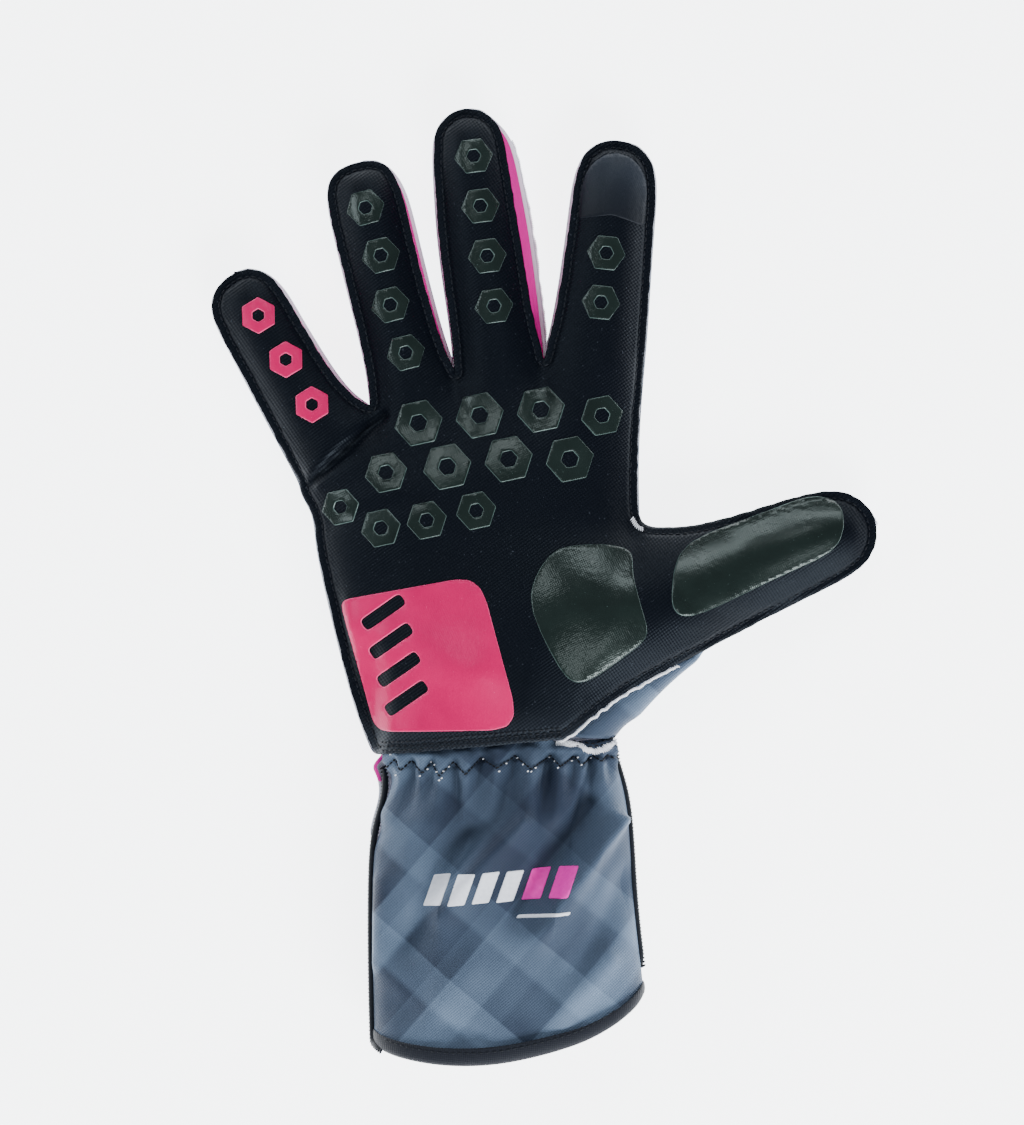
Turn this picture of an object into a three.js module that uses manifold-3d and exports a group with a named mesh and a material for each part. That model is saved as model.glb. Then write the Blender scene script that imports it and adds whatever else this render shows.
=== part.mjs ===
// A right-hand sim racing glove lying on its back, palm up, fingers along +Y and thumb along +X.
// The hand is sewn from a palm panel, a back panel, a thumb back, three finger walls and a thumb
// gusset. Its seams stand outwards as flat flanges. A gathered gauntlet cuff with a bound hem is
// sewn to the wrist, and silicone grips lie on the palm. All pieces are hollow shells of cloth.
import * as THREE from "three";
import { mergeVertices } from "three/addons/utils/BufferGeometryUtils.js";
import Module from "manifold-3d";

const wasm = await Module();
wasm.setup();

// Driving dimensions, in millimetres and degrees.
const palmWidth = 105;
const palmLength = 118;
const palmCloth = 1.6;
const backCloth = 1.4;
const wallCloth = 1.2;
const cuffCloth = 1.2;
const bindingCloth = 0.9;
const gripThickness = 0.6;
const gripGap = 0.35;
const seamFlange = 2.3;
const gap = 0.3;

// Heights above the floor: where the side seams run, and how far each side swells from them.
const seamHeightWrist = 14;
const seamHeightPalm = 12;
const seamHeightFinger = 9.6;
const seamHeightTip = 8;
const fingerSwell = 5.6;
const palmSwell = 8;
const wallHeight = 6.5;
const fingerRounding = 10.5;
const palmRounding = 34;
const wristRise = 15;
const wristRightX = 22;
const wristRoundness = 0.42;
const heelSeamHeight = 7;

const cuffLength = 92.5;
const cuffWidth = 86;
const cuffSeamHeight = 19;
const cuffRise = 21;
const gatherCount = 10;
const gatherDepth = 1.5;
const gatherColumns = 4;
const wristTuck = 4;
const bindingWidth = 5.6;
const bindingGap = 0.66;
const sideSeamWidth = 2.2;
const pipingDiameter = 1.5;

const studSize = 13.4;
const studHole = 4.8;
const palmStudTurn = 12;
const gripCutterHeight = 80;
const gripTolerance = 0.08;

// Each finger runs from the middle of its root to its tip. A row gives both edges of the finger,
// along as a share of its length and out from its axis as a share of its width. Left is the
// little finger's side, and on the thumb the side that faces the index finger. Round is 1 for a
// tip that is a half ellipse, and less for a squarer one.
const fingers = {
  little: {
    length: 62.2,
    width: 24.8,
    lean: 32,
    round: 0.88,
    rows: [
      { leftAlong: 0.2, left: 0.57, rightAlong: 0.2, right: 0.425 },
      { leftAlong: 0.5, left: 0.525, rightAlong: 0.5, right: 0.395 },
      { leftAlong: 0.815, left: 0.48, rightAlong: 0.815, right: 0.425 },
    ],
  },
  ring: {
    length: 74.2,
    width: 23.9,
    lean: 14.4,
    round: 0.78,
    rows: [
      { leftAlong: 0.15, left: 0.5, rightAlong: 0.15, right: 0.48 },
      { leftAlong: 0.5, left: 0.485, rightAlong: 0.5, right: 0.445 },
      { leftAlong: 0.844, left: 0.47, rightAlong: 0.844, right: 0.47 },
    ],
  },
  middle: {
    length: 82.6,
    width: 23.4,
    lean: 7.7,
    round: 1,
    rows: [
      { leftAlong: 0.15, left: 0.535, rightAlong: 0.15, right: 0.5 },
      { leftAlong: 0.5, left: 0.55, rightAlong: 0.5, right: 0.462 },
      { leftAlong: 0.865, left: 0.47, rightAlong: 0.865, right: 0.44 },
    ],
  },
  index: {
    length: 70.1,
    width: 25.4,
    lean: -6.2,
    round: 0.9,
    rows: [
      { leftAlong: 0.15, left: 0.495, rightAlong: 0.15, right: 0.58 },
      { leftAlong: 0.5, left: 0.44, rightAlong: 0.5, right: 0.54 },
      { leftAlong: 0.822, left: 0.43, rightAlong: 0.822, right: 0.515 },
    ],
  },
  thumb: {
    length: 92,
    width: 31,
    lean: -67.1,
    round: 1,
    rows: [
      { leftAlong: 0.352, left: 0.64, rightAlong: -0.034, right: 0.61 },
      { leftAlong: 0.507, left: 0.53, rightAlong: 0.272, right: 0.55 },
      { leftAlong: 0.7, left: 0.48, rightAlong: 0.544, right: 0.49 },
      { leftAlong: 0.85, left: 0.42, rightAlong: 0.85, right: 0.44 },
    ],
  },
};

// Where the palm's outline turns, across as a share of the palm's width from the index finger's
// inner crotch, and up as a share of its length from the wrist.
const corners = {
  wristLeft: { across: -0.493, up: -0.034 },
  littleOuter: { across: -0.714, up: 0.681 },
  littleRing: { across: -0.504, up: 0.862 },
  ringMiddle: { across: -0.257, up: 0.946 },
  middleIndex: { across: 0, up: 0.979 },
  indexOuter: { across: 0.284, up: 0.985 },
  thumbInner: { across: 0.271, up: 0.556 },
  wristPalmRight: { across: 0.059, up: 0.01 },
};

const palmLeftEdge = [
  { across: -0.547, up: 0.069 },
  { across: -0.608, up: 0.28 },
  { across: -0.66, up: 0.489 },
  { across: -0.674, up: 0.595 },
  { across: -0.706, up: 0.647 },
];

const palmRightEdge = [
  { across: 0.266, up: 0.7 },
  { across: 0.272, up: 0.85 },
];

// How far the back shows past the palm: beside each finger as a share of the finger's width, and
// at the heel of the thumb as shares of the palm.
const backSpread = {
  little: { left: 0, right: 0.02 },
  ring: { left: 0, right: 0.05 },
  middle: { left: 0, right: 0.16 },
  index: { left: 0.01, right: 0 },
};
const heelSpread = { across: 0.142, up: -0.006 };

// How high a finger wall is along a finger, as a share of its full height.
const wallTaper = [
  { along: 0, height: 1 },
  { along: 0.5, height: 1 },
  { along: 0.87, height: 0.56 },
  { along: 0.95, height: 0.2 },
  { along: 1, height: 0 },
];
const wallSides = {
  little: { left: 0, right: 1 },
  ring: { left: 1, right: 1 },
  middle: { left: 1, right: 1 },
  index: { left: 1, right: 0 },
  thumb: { left: 0, right: 0 },
};

// The gusset at the heel of the thumb: how much of its full width and height is left along the
// thumb's outer seam.
const heelTaper = [
  { along: 0, height: 1 },
  { along: 0.167, height: 0.9 },
  { along: 0.333, height: 0.74 },
  { along: 0.5, height: 0.4 },
  { along: 0.62, height: 0 },
];

// The columns of the cloth at the back of the thumb, from the seam that faces the index finger,
// round the under side and up the gusset to the outer seam. Across is its place on the thumb, root
// its place on the back panel's edge, reach how far it stands out at the heel and climb how far up
// the gusset it is.
const thumbBackColumns = [
  { across: -1, root: 0, reach: 0, climb: 0 },
  { across: -0.8, root: 0.1, reach: 0, climb: 0 },
  { across: -0.36, root: 0.35, reach: 0, climb: 0 },
  { across: 0.14, root: 0.62, reach: 0, climb: 0 },
  { across: 0.5, root: 0.86, reach: 0.97, climb: 0 },
  { across: 0.68, root: 1, reach: 1.05, climb: 0.4 },
  { across: 0.8, root: 1, reach: 0.97, climb: 0.74 },
  { across: 0.9, root: 1, reach: 0.55, climb: 0.97 },
  { across: 1, root: 1, reach: 0, climb: 1 },
];

// Creases and swells of the palm, each along a line between two points of the palm. Depth is a
// share of the palm's swell, and spread of its width.
const palmFolds = [
  { across: -0.49, up: 0.83, toAcross: -0.66, toUp: 0.69, depth: -0.42, spread: 0.03 },
  { across: -0.62, up: 0.75, toAcross: -0.55, toUp: 0.81, depth: 0.16, spread: 0.05 },
  { across: -0.66, up: 0.6, toAcross: -0.5, toUp: 0.62, depth: 0.12, spread: 0.04 },
  { across: 0.06, up: 0.3, toAcross: 0.16, toUp: 0.44, depth: 0.3, spread: 0.12 },
  { across: -0.35, up: 0.45, toAcross: -0.1, toUp: 0.62, depth: -0.22, spread: 0.16 },
];

// The gauntlet from the wrist to the hem. Left and right are the outer sides of its seams, swell
// lifts its top and peek is how far the under side shows past the left seam, all as shares of its
// width. Rise goes from the wrist's height to the hem's, gather scales the gathers.
const cuffStations = [
  { along: 0, left: -0.568, right: 0.244, swell: 0, rise: 0, peek: 0, gather: 0.3 },
  { along: 0.045, left: -0.566, right: 0.25, swell: 0, rise: 0, peek: 0, gather: 0.5 },
  { along: 0.08, left: -0.582, right: 0.258, swell: 0.03, rise: 0.05, peek: 0.008, gather: 1 },
  { along: 0.12, left: -0.575, right: 0.276, swell: 0.04, rise: 0.12, peek: 0.026, gather: 1 },
  { along: 0.2, left: -0.59, right: 0.31, swell: 0.03, rise: 0.35, peek: 0.03, gather: 0.85 },
  { along: 0.31, left: -0.632, right: 0.325, swell: 0.012, rise: 0.6, peek: 0.012, gather: 0.5 },
  { along: 0.47, left: -0.638, right: 0.334, swell: 0, rise: 0.8, peek: 0, gather: 0.24 },
  { along: 0.68, left: -0.638, right: 0.345, swell: 0, rise: 0.93, peek: 0, gather: 0.1 },
  { along: 0.88, left: -0.634, right: 0.368, swell: 0, rise: 1, peek: 0, gather: 0 },
  { along: 1, left: -0.63, right: 0.38, swell: 0, rise: 1, peek: 0, gather: 0 },
];

// How far the hem lies from the wrist, from the left seam to the right one, as shares of the
// cuff's length.
const hemDrops = [
  { across: 0, drop: 1.018 },
  { across: 0.03, drop: 1.036 },
  { across: 0.14, drop: 1.06 },
  { across: 0.3, drop: 1.072 },
  { across: 0.49, drop: 1.06 },
  { across: 0.755, drop: 1.002 },
  { across: 0.89, drop: 0.944 },
  { across: 0.97, drop: 0.89 },
  { across: 1, drop: 0.852 },
];

// Soft folds of the cuff's face. Across and along are shares of the cuff, depth is in
// gatherDepth and spread a share of the cuff's width.
const cuffFolds = [
  { across: 0.97, along: 0.22, toAcross: 0.72, toAlong: 0.62, depth: 1.3, spread: 0.035 },
  { across: 0.86, along: 0.2, toAcross: 0.62, toAlong: 0.6, depth: -1.0, spread: 0.06 },
  { across: 0.3, along: 0.35, toAcross: 0.12, toAlong: 0.75, depth: -0.8, spread: 0.06 },
  { across: 0.45, along: 0.5, toAcross: 0.28, toAlong: 0.85, depth: 0.9, spread: 0.07 },
];

// The silicone studs, on a finger as shares of its length and width, on the palm as shares of
// the palm. Size scales the stud.
const fingerStuds = {
  little: [
    { along: 0.76, across: 0.02, size: 0.86 },
    { along: 0.5, across: 0.02, size: 0.86 },
    { along: 0.24, across: 0.0, size: 0.86 },
  ],
  ring: [
    { along: 0.81, across: -0.02, size: 0.9 },
    { along: 0.6, across: 0.02, size: 0.9 },
    { along: 0.39, across: -0.02, size: 0.9 },
    { along: 0.18, across: 0.02, size: 0.9 },
  ],
  middle: [
    { along: 0.82, across: 0.03, size: 0.9 },
    { along: 0.63, across: 0.03, size: 0.9 },
    { along: 0.44, across: 0.03, size: 0.9 },
    { along: 0.25, across: 0.03, size: 0.9 },
  ],
  index: [
    { along: 0.5, across: 0.02, size: 0.9 },
    { along: 0.28, across: 0.02, size: 0.9 },
  ],
};
const palmStuds = [
  { across: -0.37, up: 0.83, size: 1.14 },
  { across: -0.19, up: 0.85, size: 1.14 },
  { across: -0.01, up: 0.865, size: 1.14 },
  { across: 0.17, up: 0.85, size: 1 },
  { across: -0.465, up: 0.7, size: 1 },
  { across: -0.285, up: 0.715, size: 1.14 },
  { across: -0.105, up: 0.735, size: 1.14 },
  { across: 0.075, up: 0.735, size: 1.14 },
  { across: -0.6, up: 0.61, size: 0.9 },
  { across: -0.48, up: 0.555, size: 0.95 },
  { across: -0.345, up: 0.575, size: 0.95 },
  { across: -0.2, up: 0.6, size: 0.95 },
];

// Outlines of the large pads, as corners in shares of the palm's width and length. Round is how
// much of the sides beside a corner its curve takes.
const pads = {
  heel_pad: [
    { across: -0.602, up: 0.366, round: 0.06 },
    { across: -0.19, up: 0.432, round: 0.17 },
    { across: -0.068, up: 0.03, round: 0.2 },
    { across: -0.497, up: 0.022, round: 0.1 },
  ],
  thumb_root_pad: [
    { across: 0.02, up: 0.505, round: 0.4 },
    { across: 0.17, up: 0.515, round: 0.4 },
    { across: 0.262, up: 0.5, round: 0.4 },
    { across: 0.258, up: 0.43, round: 0.4 },
    { across: 0.31, up: 0.27, round: 0.2 },
    { across: 0.13, up: 0.15, round: 0.4 },
    { across: 0.06, up: 0.155, round: 0.4 },
    { across: -0.06, up: 0.37, round: 0.4 },
  ],
  thumb_pad: [
    { across: 0.39, up: 0.51, round: 0.4 },
    { across: 0.62, up: 0.588, round: 0.4 },
    { across: 0.8, up: 0.648, round: 0.4 },
    { across: 0.89, up: 0.62, round: 0.45 },
    { across: 0.88, up: 0.5, round: 0.45 },
    { across: 0.7, up: 0.43, round: 0.4 },
    { across: 0.43, up: 0.315, round: 0.4 },
    { across: 0.365, up: 0.34, round: 0.4 },
  ],
};
const heelPadSlots = { count: 4, width: 4, length: 15, lean: 35, fromEdge: 0.05, above: 0.9, below: 0.7 };
const touchPad = { from: 0.64, bend: 0.03, shoulder: 0.78, to: 0.95, width: 0.8, across: -0.04 };

// Places on the palm panel's grid, from one edge of a finger to the other.
const acrossFinger = [-1, -0.8, -0.32, 0.32, 0.8, 1];
const tipAngles = [30, 54, 75, 90];
const fingerSteps = 6;
const upperPalmSteps = 5;
const thumbRow = 0.56;

// Small helpers.
const radians = THREE.MathUtils.degToRad;
const lerp = THREE.MathUtils.lerp;
const smooth = (x) => THREE.MathUtils.smoothstep(x, 0, 1);
const vec = (x, y, z = 0) => new THREE.Vector3(x, y, z);
const onPalm = ({ across, up }) => vec(across * palmWidth, up * palmLength);
const mix = (a, b, share) => a.clone().lerp(b, share);
const curve = (points) => new THREE.CatmullRomCurve3(points, false, "centripetal");

// A value from a table whose rows are sorted by one column, with a smooth run between rows.
function fromTable(rows, column, key, at) {
  const last = rows.length - 1;
  if (at <= rows[0][column]) return rows[0][key];
  if (at >= rows[last][column]) return rows[last][key];
  const next = rows.findIndex((row) => row[column] > at);
  const [a, b] = [rows[next - 1], rows[next]];
  const share = (at - a[column]) / (b[column] - a[column]);
  const before = rows[Math.max(next - 2, 0)];
  const after = rows[Math.min(next + 1, last)];
  const slope = (p, q) => (q[key] - p[key]) / Math.max(q[column] - p[column], 1e-6);
  const [m0, m1] = [slope(before, b), slope(a, after)];
  const [s2, s3, width] = [share * share, share ** 3, b[column] - a[column]];
  return (
    (2 * s3 - 3 * s2 + 1) * a[key] +
    (s3 - 2 * s2 + share) * width * m0 +
    (3 * s2 - 2 * s3) * b[key] +
    (s3 - s2) * width * m1
  );
}

function distanceToSegment(x, y, a, b) {
  const [dx, dy] = [b.x - a.x, b.y - a.y];
  const length2 = Math.max(dx * dx + dy * dy, 1e-9);
  const share = THREE.MathUtils.clamp(((x - a.x) * dx + (y - a.y) * dy) / length2, 0, 1);
  return Math.hypot(x - a.x - share * dx, y - a.y - share * dy);
}

// The outline, for the palm side or for the back.
const fingerOrder = ["little", "ring", "middle", "index"];
const rootNames = ["littleOuter", "littleRing", "ringMiddle", "middleIndex", "indexOuter"];

// The rows of one finger, each as the two edge points, with the share of the way to the tip.
function fingerEdges(name, leftRoot, rightRoot, isBack) {
  const finger = fingers[name];
  const root = mix(leftRoot, rightRoot, 0.5);
  const lean = radians(finger.lean);
  const axis = vec(-Math.sin(lean), Math.cos(lean));
  const out = vec(-axis.y, axis.x);
  const place = (along, across) =>
    root
      .clone()
      .addScaledVector(axis, along * finger.length)
      .addScaledVector(out, across * finger.width);
  const widen = (along, side) => {
    if (!isBack) return 0;
    return backSpread[name][side] * smooth(along / 0.25) * (1 - smooth((along - 0.82) / 0.12));
  };
  const leftPoints = [leftRoot];
  const rightPoints = [rightRoot];
  for (const row of finger.rows) {
    leftPoints.push(place(row.leftAlong, row.left + widen(row.leftAlong, "left")));
    rightPoints.push(place(row.rightAlong, -row.right - widen(row.rightAlong, "right")));
  }
  const leftCurve = curve(leftPoints);
  const rightCurve = curve(rightPoints);
  const tipStart = finger.rows.at(-1).leftAlong;
  const rows = [];
  for (let i = 0; i <= fingerSteps; i++) {
    const share = i / fingerSteps;
    rows.push({
      left: leftCurve.getPoint(share),
      right: rightCurve.getPoint(share),
      along: share * tipStart,
    });
  }
  const last = finger.rows.at(-1);
  for (const angle of tipAngles) {
    const along = lerp(tipStart, 1, Math.sin(radians(angle)) ** finger.round);
    const leftEnd = last.left + widen(along, "left");
    const rightEnd = last.right + widen(along, "right");
    const middle = ((leftEnd - rightEnd) / 2) * Math.cos(radians(angle) / 2);
    const half = ((leftEnd + rightEnd) / 2) * Math.abs(Math.cos(radians(angle))) ** finger.round;
    rows.push({ left: place(along, middle + half), right: place(along, middle - half), along });
  }
  return rows;
}

function outline(isBack) {
  const point = (name) => onPalm(corners[name]);
  const roots = rootNames.map(point);
  const wristLeft = point("wristLeft");
  const thumbInner = point("thumbInner");
  const wristRight = point("wristPalmRight");
  const leftCurve = curve([wristLeft, ...palmLeftEdge.map(onPalm), roots[0]]);
  const rightCurve = curve([thumbInner, ...palmRightEdge.map(onPalm), roots[4]]);
  const edges = {};
  fingerOrder.forEach((name, i) => {
    edges[name] = fingerEdges(name, roots[i], roots[i + 1], isBack);
  });
  edges.thumb = fingerEdges("thumb", thumbInner, wristRight.clone(), false);
  if (isBack) wristRight.add(onPalm(heelSpread));
  return { roots, wristLeft, wristRight, thumbInner, leftCurve, rightCurve, edges, isBack };
}

// Heights of the seams. Each rim height is that of the middle of the cloth.
function seamAlongFinger(name, along) {
  const start = name === "thumb" ? seamHeightPalm : seamHeightFinger;
  return lerp(start, seamHeightTip, smooth(along));
}

function rimHeight(seam, wall, isBack) {
  const apart = (isBack ? backCloth : palmCloth) / 2 + gap / 2 + wall / 2;
  return isBack ? seam - apart : seam + apart;
}

// The wrist is an oval: the height of its top or its under side at a place across it.
function wristSection(x, isBack) {
  const left = onPalm(corners.wristLeft).x;
  const middle = (left + wristRightX) / 2;
  const half = (wristRightX - left) / 2;
  const off = THREE.MathUtils.clamp((x - middle) / half, -1, 1);
  const bow = Math.max(1 - off * off, 0) ** wristRoundness;
  if (!isBack) return rimHeight(seamHeightWrist, 0, false) + wristRise * bow;
  const low = rimHeight(seamHeightWrist, 0, true);
  return Math.max(low - (low + wristRise * 0.3) * bow, backCloth / 2);
}

function rimAlongFinger(name, side, along, tipStart, isBack) {
  const seam = seamAlongFinger(name, along);
  const share = along / tipStart;
  if (name === "thumb" && side === "right") {
    const start = isBack ? heelSeamHeight : wristSection(onPalm(corners.wristPalmRight).x, false);
    const plain = rimHeight(seam, 0, isBack);
    return lerp(plain, start, Math.max(fromTable(heelTaper, "along", "height", share), 0));
  }
  const taper = fromTable(wallTaper, "along", "height", along);
  const wall = wallSides[name][side] * wallHeight * Math.max(taper, 0);
  return rimHeight(seam, wall, isBack);
}

function foldsAt(x, y) {
  let sum = 0;
  for (const fold of palmFolds) {
    const from = onPalm(fold);
    const to = onPalm({ across: fold.toAcross, up: fold.toUp });
    const away = distanceToSegment(x, y, from, to) / (fold.spread * palmWidth);
    sum += fold.depth * palmSwell * Math.exp(-away * away);
  }
  return sum;
}

// A sheet of points joined in quads. Points that coincide are shared.
class Sheet {
  constructor() {
    this.points = [];
    this.quads = [];
    this.keys = new Map();
  }

  add(point) {
    const key = point.toArray().map((value) => value.toFixed(3)).join(",");
    if (!this.keys.has(key)) {
      this.keys.set(key, this.points.length);
      this.points.push(point);
    }
    return this.keys.get(key);
  }

  patch(rows) {
    const ids = rows.map((row) => row.map((point) => this.add(point)));
    for (let i = 0; i + 1 < ids.length; i++) {
      for (let j = 0; j + 1 < ids[i].length; j++) {
        this.quads.push([ids[i][j], ids[i][j + 1], ids[i + 1][j + 1], ids[i + 1][j]]);
      }
    }
  }

  triangles() {
    const found = [];
    for (const [a, b, c, d] of this.quads) {
      for (const triangle of [[a, b, c], [a, c, d]]) {
        if (new Set(triangle).size === 3) found.push(triangle);
      }
    }
    return found;
  }

  normals() {
    const sums = this.points.map(() => vec(0, 0, 0));
    for (const [a, b, c] of this.triangles()) {
      const edge = this.points[b].clone().sub(this.points[a]);
      const face = edge.cross(this.points[c].clone().sub(this.points[a]));
      for (const id of [a, b, c]) sums[id].add(face);
    }
    return sums.map((sum) => sum.normalize());
  }

  // The closed solid between two offsets of the sheet, along its normals.
  solid(low, high) {
    const normals = this.normals();
    const flat = [];
    for (const offset of [high, low]) {
      this.points.forEach((point, i) => {
        flat.push(...point.clone().addScaledVector(normals[i], offset).toArray());
      });
    }
    const count = this.points.length;
    const triangles = this.triangles();
    const edges = new Map();
    const faces = [];
    for (const [a, b, c] of triangles) {
      faces.push(a, b, c, a + count, c + count, b + count);
      for (const [p, q] of [[a, b], [b, c], [c, a]]) {
        if (!edges.delete(q + "," + p)) edges.set(p + "," + q, [p, q]);
      }
    }
    for (const [p, q] of edges.values()) {
      faces.push(q, p, p + count, q, p + count, q + count);
    }
    return geometryOf(flat, faces);
  }
}

function geometryOf(positions, faces) {
  const geometry = new THREE.BufferGeometry();
  geometry.setAttribute("position", new THREE.Float32BufferAttribute(positions, 3));
  if (faces) geometry.setIndex(faces);
  return geometry;
}

// The palm side or the back of the hand as rows of points in plan, patch by patch.
function handRows(shape, withThumb) {
  const steps = acrossFinger.length - 1;
  const { roots, edges, isBack } = shape;
  const top = [];
  fingerOrder.forEach((name, i) => {
    acrossFinger.forEach((place, j) => {
      if (i === 0 || j > 0) top.push(mix(roots[i], roots[i + 1], (1 + place) / 2));
    });
  });
  const lengths = [0];
  for (let i = 1; i < top.length; i++) {
    lengths.push(lengths[i - 1] + top[i].distanceTo(top[i - 1]));
  }
  const total = lengths.at(-1);
  const rows = [];
  const rowCount = steps + upperPalmSteps;
  for (let k = 0; k <= rowCount; k++) {
    const lower = k <= steps;
    const share = lower ? (1 + acrossFinger[k]) / 2 : (k - steps) / upperPalmSteps;
    const left = shape.leftCurve.getPoint(lower ? share * thumbRow : lerp(thumbRow, 1, share));
    const right = lower
      ? mix(shape.wristRight, shape.thumbInner, share)
      : shape.rightCurve.getPoint(share);
    const climb = (k / rowCount) ** 2;
    rows.push(
      top.map((point, j) => {
        const straight = mix(roots[0], roots[4], lengths[j] / total);
        const bow = point.clone().sub(straight).multiplyScalar(climb);
        return mix(left, right, lengths[j] / total).add(bow);
      }),
    );
  }
  const patches = { palm: rows };
  for (const name of [...fingerOrder, "thumb"]) {
    if (name === "thumb" && !withThumb) continue;
    patches[name] = edges[name].map(({ left, right }) =>
      acrossFinger.map((place) => mix(left, right, (1 + place) / 2)),
    );
  }
  return patches;
}

// Every edge of the outline that is a seam of the hand, as pairs of points.
function seamLines(shape) {
  const lines = [];
  const join = (points) => {
    for (let i = 0; i + 1 < points.length; i++) lines.push([points[i], points[i + 1]]);
  };
  join(shape.leftCurve.getPoints(24));
  join(shape.rightCurve.getPoints(12));
  for (const rows of Object.values(shape.edges)) {
    join(rows.map((row) => row.left));
    join(rows.map((row) => row.right));
  }
  return lines;
}

// The height of the cloth over a place in plan, given the height of its rim there.
function clothHeight(shape, lines, point, rim) {
  const away = Math.min(...lines.map(([a, b]) => distanceToSegment(point.x, point.y, a, b)));
  const inside = Math.max(away - seamFlange, 0);
  const near = Math.min(inside / fingerRounding, 1);
  const bow = Math.sqrt(1 - (1 - near) ** 2) * fingerSwell;
  const wide = smooth(inside / palmRounding) * palmSwell;
  const wristShare = 1 - smooth((point.y - palmLength * 0.01) / (palmLength * 0.24));
  if (shape.isBack) {
    const low = Math.max(rim - bow * 1.5 - wide * 1.4, backCloth / 2);
    return lerp(low, wristSection(point.x, true), wristShare);
  }
  const high = rim + bow + wide + foldsAt(point.x, point.y) * near;
  return lerp(high, wristSection(point.x, false), wristShare);
}

function handSheet(isBack, withThumb) {
  const shape = outline(isBack);
  const lines = seamLines(shape);
  const patches = handRows(shape, withThumb);
  const sheet = new Sheet();
  const raise = (rows, rimOf) =>
    rows.map((row, i) =>
      row.map((point, j) => vec(point.x, point.y, clothHeight(shape, lines, point, rimOf(i, j)))),
    );
  const steps = acrossFinger.length - 1;
  const rowCount = patches.palm.length - 1;
  const columnCount = patches.palm[0].length - 1;
  const palmRim = (i, j) => {
    const leftSeam = lerp(seamHeightWrist, seamHeightFinger, smooth(i / rowCount));
    const upper = i >= steps;
    const rightSeam = upper
      ? lerp(seamHeightPalm, seamHeightFinger, (i - steps) / upperPalmSteps)
      : seamHeightPalm;
    const heel = rimAlongFinger("thumb", "right", 0, 1, isBack);
    const plainRight = rimHeight(rightSeam, 0, isBack);
    const right = upper ? plainRight : lerp(heel, plainRight, (1 + acrossFinger[i]) / 2);
    const plain = lerp(rimHeight(leftSeam, 0, isBack), right, j / columnCount);
    const crotch = j > 0 && j < columnCount ? (isBack ? -1 : 1) * (wallHeight / 2) : 0;
    return plain + crotch * (i / rowCount) ** 6 * Math.sin((Math.PI * j) / columnCount) ** 0.3;
  };
  const palmRows = raise(patches.palm, palmRim);
  const fingerRows = {};
  sheet.patch(palmRows);
  for (const name of Object.keys(patches)) {
    if (name === "palm") continue;
    const rows = shape.edges[name];
    const tipStart = fingers[name].rows.at(-1).leftAlong;
    const raised = raise(patches[name], (i, j) => {
      const left = rimAlongFinger(name, "left", rows[i].along, tipStart, isBack);
      const right = rimAlongFinger(name, "right", rows[i].along, tipStart, isBack);
      return lerp(left, right, (1 + acrossFinger[j]) / 2);
    });
    if (name === "thumb") {
      raised[0] = palmRows.slice(0, steps + 1).map((row) => row.at(-1)).reverse();
      sheet.patch(raised);
    } else {
      const first = fingerOrder.indexOf(name) * steps;
      raised[0] = palmRows.at(-1).slice(first, first + steps + 1);
      sheet.patch(raised);
    }
    fingerRows[name] = raised;
  }
  return { sheet, shape, lines, palmRows, fingerRows };
}

// The cloth at the back of the thumb, with the gusset.
function thumbBackSheet(palmSide, backSide) {
  const { shape, lines } = backSide;
  const rows = outline(false).edges.thumb;
  const tipStart = fingers.thumb.rows.at(-1).leftAlong;
  const layer = palmCloth / 2 + gap + backCloth / 2;
  const lowerRows = backSide.palmRows.slice(0, acrossFinger.length);
  const rootEdge = lowerRows.map((row) => row.at(-1)).reverse();
  const rootCurve = new THREE.CatmullRomCurve3(rootEdge, false, "chordal");
  const sheet = new Sheet();
  const grid = rows.map((row, i) => {
    const share = row.along / tipStart;
    const full = Math.max(fromTable(heelTaper, "along", "height", share), 0);
    const reach = onPalm(heelSpread).multiplyScalar(full);
    const left = rimAlongFinger("thumb", "left", row.along, tipStart, true);
    const right = rimAlongFinger("thumb", "right", row.along, tipStart, true);
    const seam = palmSide.fingerRows.thumb[i].at(-1);
    return thumbBackColumns.map((column) => {
      const share = (1 + column.across) / 2;
      const plan = mix(row.left, row.right, share);
      const low = clothHeight(shape, lines, plan, lerp(left, right, share));
      const plain = vec(plan.x, plan.y, low);
      if (full === 0) return plain;
      const under = mix(row.left, row.right.clone().add(reach), column.root);
      const heel = row.right.clone().addScaledVector(reach, column.reach);
      const climbs = column.climb > 0;
      const spot = climbs ? heel : under;
      const floor = clothHeight(shape, lines, spot, left);
      spot.z = climbs ? lerp(backCloth, seam.z - layer, column.climb) : floor;
      if (i > 0) return mix(plain, spot, column.reach > 0 || climbs ? full : full / 2);
      if (climbs) return spot;
      return rootCurve.getPointAt(column.root).add(vec(gap + backCloth / 2, 0));
    });
  });
  sheet.patch(grid);
  return { sheet, grid };
}

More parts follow.
